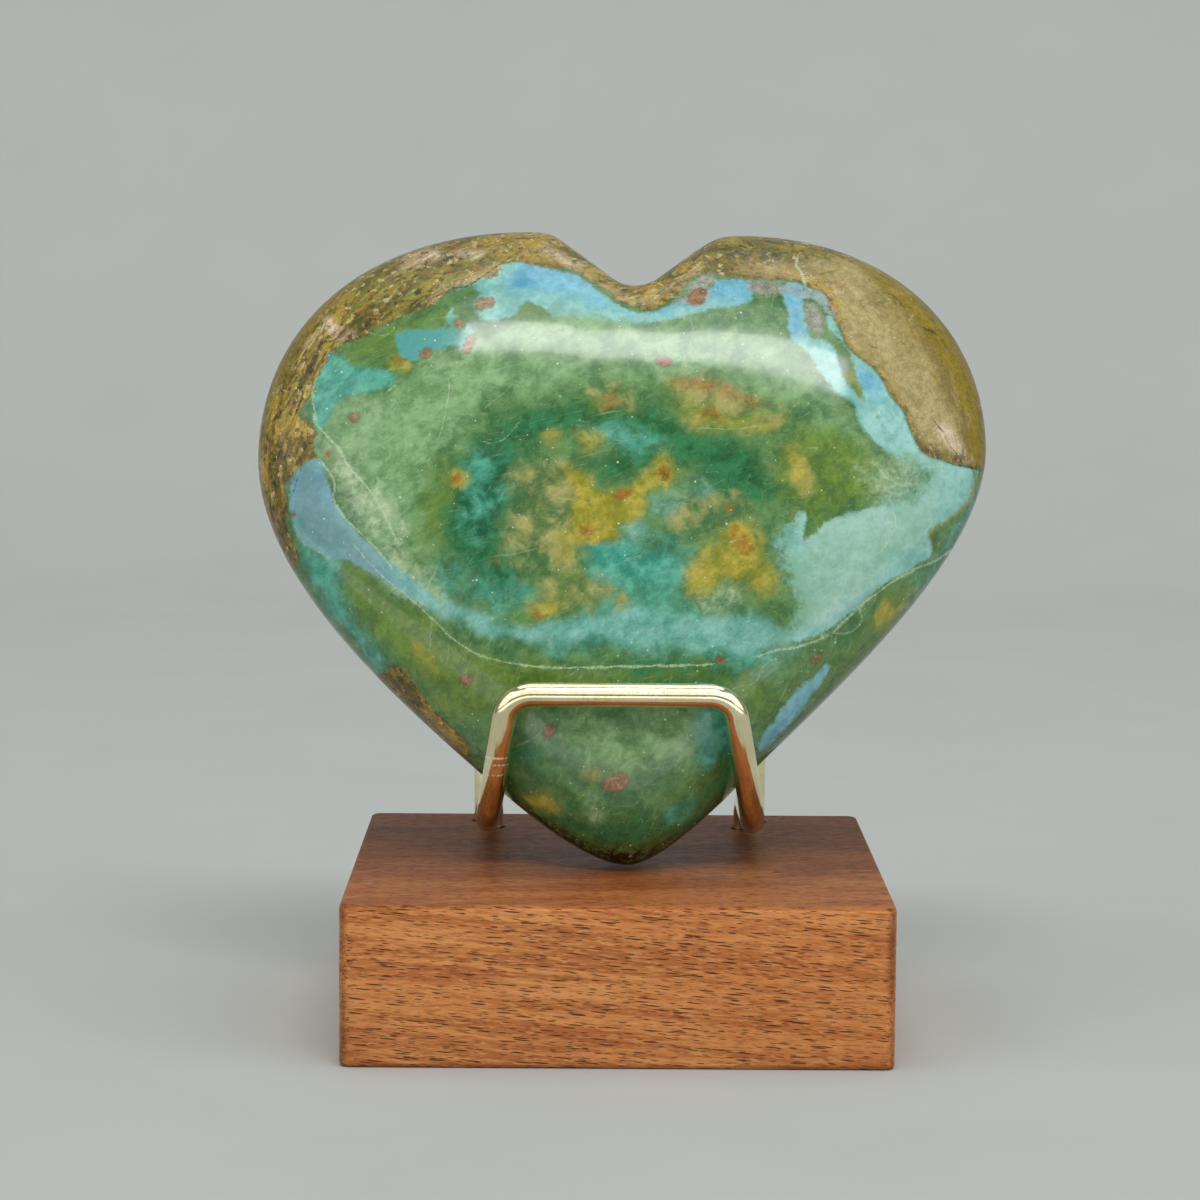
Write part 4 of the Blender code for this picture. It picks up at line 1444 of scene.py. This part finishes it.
def wood_material(settings):
    """Red-brown wood: grain along X, dark open pores, a painted shade on the top and singed edges."""
    material = bpy.data.materials.new("mahogany_waxed")
    paint = Painter(material)
    place = paint.place()
    swirl = paint.noise(paint.place(SWIRL_STRETCH), *SWIRL_NOISE)
    bands = paint.noise(paint.place(BAND_STRETCH, GRAIN_SLANT), *BAND_NOISE)
    fibre = paint.noise(paint.place(FIBRE_STRETCH, GRAIN_SLANT), *FIBRE_NOISE)
    tint = paint.mix(paint.ramp("band", bands[0]), *[colour(*shade) for shade in BAND_SHADES])
    tint = paint.stain(paint.ramp("swirl", swirl[0]), tint, SWIRL_TINT)
    tint = paint.stain(paint.ramp("dark_fibre", fibre[0]), tint, DARK_FIBRE_TINT)
    tint = paint.stain(paint.ramp("light_fibre", fibre[1]), tint, LIGHT_FIBRE_TINT)
    pores = wood_pores(paint, settings.pore_length)
    tint = paint.stain(paint.times(pores, PORE_COVER), tint, PORE_TINT)
    tint = shaded_top_and_singed_edges(paint, tint, place, swirl[1])
    rough = paint.step(fibre[1], *DULL_FIBRE, settings.wax_roughness, DULL_ROUGHNESS)
    height = paint.times_plus(fibre[2], FIBRE_RISE, paint.times(pores, -PORE_DEPTH))
    paint.finish(tint, rough, WOOD_FINISH, height, WOOD_RELIEF)
    return material


def paper_material():
    """Plain pale paper, very slightly mottled."""
    material = bpy.data.materials.new("pale_paper")
    paint = Painter(material)
    mottle = paint.noise(paint.place(), *PAPER_NOISE)
    paint.finish(paint.mix(mottle[0], *[colour(*shade) for shade in PAPER_SHADES]), PAPER_ROUGHNESS, {})
    return material


def stand_point(x, depth, height):
    """A point given behind the block's front face and above its top."""
    return Vector((x, BLOCK_FRONT + depth, BLOCK_HEIGHT + height)) * MM


def rounded_corner(before, corner, after, radius):
    """Points of the arc that rounds the corner between two straight runs."""
    to_before = (before - corner).normalized()
    to_after = (after - corner).normalized()
    half = to_before.angle(to_after) / 2
    middle = corner + (to_before + to_after).normalized() * (radius / math.sin(half))
    start = corner + to_before * (radius / math.tan(half)) - middle
    finish = corner + to_after * (radius / math.tan(half)) - middle
    return [middle + start.slerp(finish, i / BEND_STEPS) * radius for i in range(BEND_STEPS + 1)]


def hook_leg(side):
    """One leg of the hook, from the bottom of its hole to just below the bar's bend."""
    root_x, bar_x = HOOK_ROOT_X[side], HOOK_BAR_X[side]
    bottom = stand_point(root_x, HOOK_ROOT_DEPTH, -WIRE_INSERT)
    corner = stand_point(root_x, HOOK_ROOT_DEPTH, HOOK_RUN_HEIGHT)
    rise = stand_point(root_x, HOOK_RISE_DEPTH, HOOK_RUN_HEIGHT)
    points = [bottom, stand_point(root_x, HOOK_ROOT_DEPTH, 0.0)]
    points += rounded_corner(bottom, corner, rise, HOOK_ROOT_BEND * MM)
    points.append(stand_point(root_x, (HOOK_ROOT_DEPTH + HOOK_RISE_DEPTH) / 2, HOOK_RUN_HEIGHT))
    run = HOOK_RISE_DEPTH - HOOK_BAR_DEPTH
    climb = HOOK_BAR_HEIGHT - HOOK_RUN_HEIGHT
    a = Vector((HOOK_RISE_DEPTH, HOOK_RUN_HEIGHT))
    b = a - Vector((HOOK_LEVEL_REACH * run, 0.0))
    c = Vector((HOOK_BAR_DEPTH + HOOK_UPRIGHT_LEAN * run, HOOK_RUN_HEIGHT + HOOK_UPRIGHT_REACH * climb))
    d = Vector((HOOK_BAR_DEPTH, HOOK_BAR_HEIGHT))
    for i in range(2 * HOOK_SWEEP_USED - 1):
        depth, height = bezier(a, b, c, d, i / (2 * HOOK_SWEEP_STEPS))
        x = root_x + (bar_x - root_x) * (height - HOOK_RUN_HEIGHT) / climb
        points.append(stand_point(x, depth, height))
    return points


def hook_route():
    """The front hook's whole route: leg, bar and leg."""
    legs = [hook_leg(side) for side in (0, 1)]
    corners = [stand_point(x, HOOK_BAR_DEPTH, HOOK_BAR_HEIGHT) for x in HOOK_BAR_X]
    points = list(legs[0])
    points += rounded_corner(legs[0][-1], corners[0], corners[1], HOOK_BAR_BEND * MM)
    points += rounded_corner(corners[0], corners[1], legs[1][-1], HOOK_BAR_BEND * MM)
    return points + legs[1][::-1]


def rest_route():
    """The rear rest's route: post, bar and post."""
    feet = [stand_point(x, REST_DEPTH, -WIRE_INSERT) for x in REST_X]
    tops = [stand_point(x, REST_DEPTH, REST_HEIGHT) for x in REST_X]
    points = [feet[0]]
    points += rounded_corner(feet[0], tops[0], tops[1], REST_BEND * MM)
    points += rounded_corner(tops[0], tops[1], feet[1], REST_BEND * MM)
    return points + [feet[1]]


def swept_wire(name, route, sides):
    """A round wire mesh along a route, closed at both ends."""
    curve = bpy.data.curves.new(name, "CURVE")
    curve.dimensions = "3D"
    curve.bevel_depth = WIRE_RADIUS * MM
    curve.bevel_resolution = sides // 2 - 2
    curve.use_fill_caps = True
    spline = curve.splines.new("POLY")
    spline.points.add(len(route) - 1)
    for point, spot in zip(spline.points, route):
        point.co = (*spot, 1.0)
    guide = bpy.data.objects.new(name, curve)
    bpy.context.collection.objects.link(guide)
    mesh = bpy.data.meshes.new_from_object(guide.evaluated_get(bpy.context.evaluated_depsgraph_get()))
    bpy.data.objects.remove(guide)
    mesh.name = name
    mesh.shade_smooth()
    mesh.set_sharp_from_angle(angle=WIRE_END_ANGLE)
    return linked(name, mesh)


def linked(name, data):
    """A new object in the scene."""
    item = bpy.data.objects.new(name, data)
    bpy.context.collection.objects.link(item)
    return item


def dress(item, material, slot, *replaced):
    """Give a piece its material and the CAD nodes that it stands for. The slot is not used."""
    item.data.materials.clear()
    item.data.materials.append(material)
    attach(item, "root")
    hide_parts(*replaced)


def linked_lights(cards, receivers):
    """Let these lights reach only the receivers."""
    group = bpy.data.collections.new("brass_only")
    for item in receivers:
        group.objects.link(item)
    for card in cards:
        card.light_linking.receiver_collection = group


def soft_card(name, radiance, size, towards, distance, turn):
    """A glowing rectangle that faces the stone from a direction, or one that lies facing up at a place."""
    data = bpy.data.lights.new(name, "AREA")
    data.shape = "RECTANGLE"
    data.size, data.size_y = size
    data.energy = radiance * math.pi * size[0] * size[1]
    card = linked(name, data)
    if distance is None:
        card.matrix_world = Matrix.Translation(Vector(towards)) @ Matrix.Rotation(math.pi, 4, "X")
        return card
    azimuth, elevation = (math.radians(part) for part in towards)
    level = math.cos(elevation)
    ray = Vector((math.sin(azimuth) * level, -math.cos(azimuth) * level, math.sin(elevation)))
    aim = ray.to_track_quat("Z", "Y").to_matrix().to_4x4() @ Matrix.Rotation(math.radians(turn), 4, "Z")
    card.matrix_world = Matrix.Translation(Vector(STONE_MIDDLE) * MM + ray * distance) @ aim
    return card


def paper_sweep(size):
    """A sheet of paper that lies flat and curves up behind."""
    flat_end = BACKDROP_DEPTH - BACKDROP_BEND
    steps = [(-size / 2, 0.0), (flat_end, 0.0)]
    for i in range(1, BACKDROP_STEPS + 1):
        a = math.pi / 2 * i / BACKDROP_STEPS
        steps.append((flat_end + BACKDROP_BEND * math.sin(a), BACKDROP_BEND * (1.0 - math.cos(a))))
    steps.append((BACKDROP_DEPTH, size / 2))
    rows = [(x, y, z) for y, z in steps for x in (-size / 2, size / 2)]
    faces = [(2 * i, 2 * i + 1, 2 * i + 3, 2 * i + 2) for i in range(len(steps) - 1)]
    mesh = bpy.data.meshes.new("paper_sweep")
    mesh.from_pydata(rows, [], faces)
    mesh.shade_smooth()
    mesh.materials.append(paper_material())
    return linked("paper_sweep", mesh)


def front_camera():
    """The camera of the front view."""
    data = bpy.data.cameras.new("front_camera")
    data.sensor_width = SENSOR
    data.lens = SHEET_REACH / SHEET * SENSOR
    camera = linked("front_camera", data)
    ahead, right, up = eye_axes()
    axes = Matrix((right, up, -ahead)).transposed().to_4x4()
    camera.matrix_world = Matrix.Translation(EYE) @ axes
    return camera


def studio_air():
    """The dim even light from all round."""
    world = bpy.data.worlds.new("studio_air")
    world.use_nodes = True
    background = world.node_tree.nodes["Background"]
    background.inputs[0].default_value = colour(*AIR_TINT)
    background.inputs[1].default_value = WORLD_LEVEL
    return world


class OpalStoneSettings(bpy.types.PropertyGroup):
    polish: bpy.props.FloatProperty(
        name="Polish", description="Roughness of the best polished parts",
        default=0.1, min=0.02, max=0.6, subtype="FACTOR",
    )


class OpalBrassSettings(bpy.types.PropertyGroup):
    polish: bpy.props.FloatProperty(
        name="Polish", description="Roughness of the clean wire",
        default=0.09, min=0.02, max=0.6, subtype="FACTOR",
    )
    sides: bpy.props.IntProperty(
        name="Sides", description="Flat sides round the wire", default=32, min=8, max=64
    )


class OpalWoodSettings(bpy.types.PropertyGroup):
    pore_length: bpy.props.FloatProperty(
        name="Pore length", description="Usual length of an open pore",
        default=PORE_LENGTH, min=0.2 * MM, max=10 * MM, unit="LENGTH", precision=4,
    )
    wax_roughness: bpy.props.FloatProperty(
        name="Wax roughness", description="Roughness of the waxed face",
        default=0.42, min=0.1, max=0.9, subtype="FACTOR",
    )


class OpalStageSettings(bpy.types.PropertyGroup):
    floor_size: bpy.props.FloatProperty(
        name="Floor size", description="Width of the floor sheet",
        default=2.4, min=0.5, max=10.0, unit="LENGTH",
    )
    key_radiance: bpy.props.FloatProperty(
        name="Key radiance", description="Brightness of the high front card",
        default=13.0, min=0.1, max=50.0,
    )


class OPAL_OT_build_heart(bpy.types.Operator):
    """Build the opal heart in place of its plain solid"""

    bl_idname = "opal.build_heart"
    bl_label = "Build the opal heart"

    def execute(self, context):
        flat, faces = heart_surface()
        placed = heart_in_place(flat)
        mesh = bpy.data.meshes.new("opal_heart_fine")
        mesh.from_pydata(placed.tolist(), [], faces)
        for name, values in stone_masks(flat, placed).items():
            layer = mesh.attributes.new(name, "FLOAT", "POINT")
            layer.data.foreach_set("value", values.astype(np.float32))
        mesh.shade_smooth()
        heart = linked("opal_heart_fine", mesh)
        dress(heart, opal_material(context.scene.opal_stone), "opal", "opal_heart")
        return {"FINISHED"}


class OPAL_OT_build_wires(bpy.types.Operator):
    """Sweep the two brass wires in place of their plain solids"""

    bl_idname = "opal.build_wires"
    bl_label = "Build the brass wires"

    def execute(self, context):
        settings = context.scene.opal_brass
        material = brass_material(settings)
        for name, node, route in zip(WIRES, ("front_hook", "rear_rest"), (hook_route(), rest_route())):
            wire = swept_wire(name, route, settings.sides)
            dress(wire, material, "brass", node)
        return {"FINISHED"}


class OPAL_OT_dress_block(bpy.types.Operator):
    """Give the wooden block its grain"""

    bl_idname = "opal.dress_block"
    bl_label = "Dress the wooden block"

    def execute(self, context):
        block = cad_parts["wood_block"]
        block.data.materials.clear()
        block.data.materials.append(wood_material(context.scene.opal_wood))
        return {"FINISHED"}


class OPAL_OT_build_stage(bpy.types.Operator):
    """Add the floor, the backdrop, the lights and the camera"""

    bl_idname = "opal.build_stage"
    bl_label = "Build the stage"

    def execute(self, context):
        scene = context.scene
        settings = scene.opal_stage
        scene.view_settings.view_transform = "Standard"
        scene.world = studio_air()
        sweep = paper_sweep(settings.floor_size)
        cards = [soft_card(*card) for card in CARDS]
        cards.append(soft_card("key_card", settings.key_radiance, *KEY_CARD))
        brass_cards = [soft_card(*card) for card in BRASS_CARDS]
        linked_lights(brass_cards, [bpy.data.objects[name] for name in WIRES])
        cards += brass_cards
        camera = front_camera()
        scene.camera = camera
        return {"FINISHED"}


class OPAL_PT_heart(bpy.types.Panel):
    bl_label = "Opal Heart"
    bl_space_type = "VIEW_3D"
    bl_region_type = "UI"
    bl_category = "Opal Heart"

    def draw(self, context):
        for group, names, operator in PANEL_ROWS:
            box = self.layout.box()
            for name in names:
                box.prop(getattr(context.scene, group), name)
            box.operator(operator)


PANEL_ROWS = (
    ("opal_stone", ("polish",), "opal.build_heart"),
    ("opal_brass", ("polish", "sides"), "opal.build_wires"),
    ("opal_wood", ("pore_length", "wax_roughness"), "opal.dress_block"),
    ("opal_stage", ("floor_size", "key_radiance"), "opal.build_stage"),
)
SETTINGS = {
    "opal_stone": OpalStoneSettings,
    "opal_brass": OpalBrassSettings,
    "opal_wood": OpalWoodSettings,
    "opal_stage": OpalStageSettings,
}
CLASSES = (
    *SETTINGS.values(),
    OPAL_OT_build_heart,
    OPAL_OT_build_wires,
    OPAL_OT_dress_block,
    OPAL_OT_build_stage,
    OPAL_PT_heart,
)


def register():
    for item in CLASSES:
        bpy.utils.register_class(item)
    for name, group in SETTINGS.items():
        setattr(bpy.types.Scene, name, bpy.props.PointerProperty(type=group))


def unregister():
    for name in SETTINGS:
        delattr(bpy.types.Scene, name)
    for item in reversed(CLASSES):
        bpy.utils.unregister_class(item)


def main():
    register()
    bpy.ops.opal.build_heart()
    bpy.ops.opal.build_wires()
    bpy.ops.opal.dress_block()
    bpy.ops.opal.build_stage()


if __name__ == "__main__":
    main()
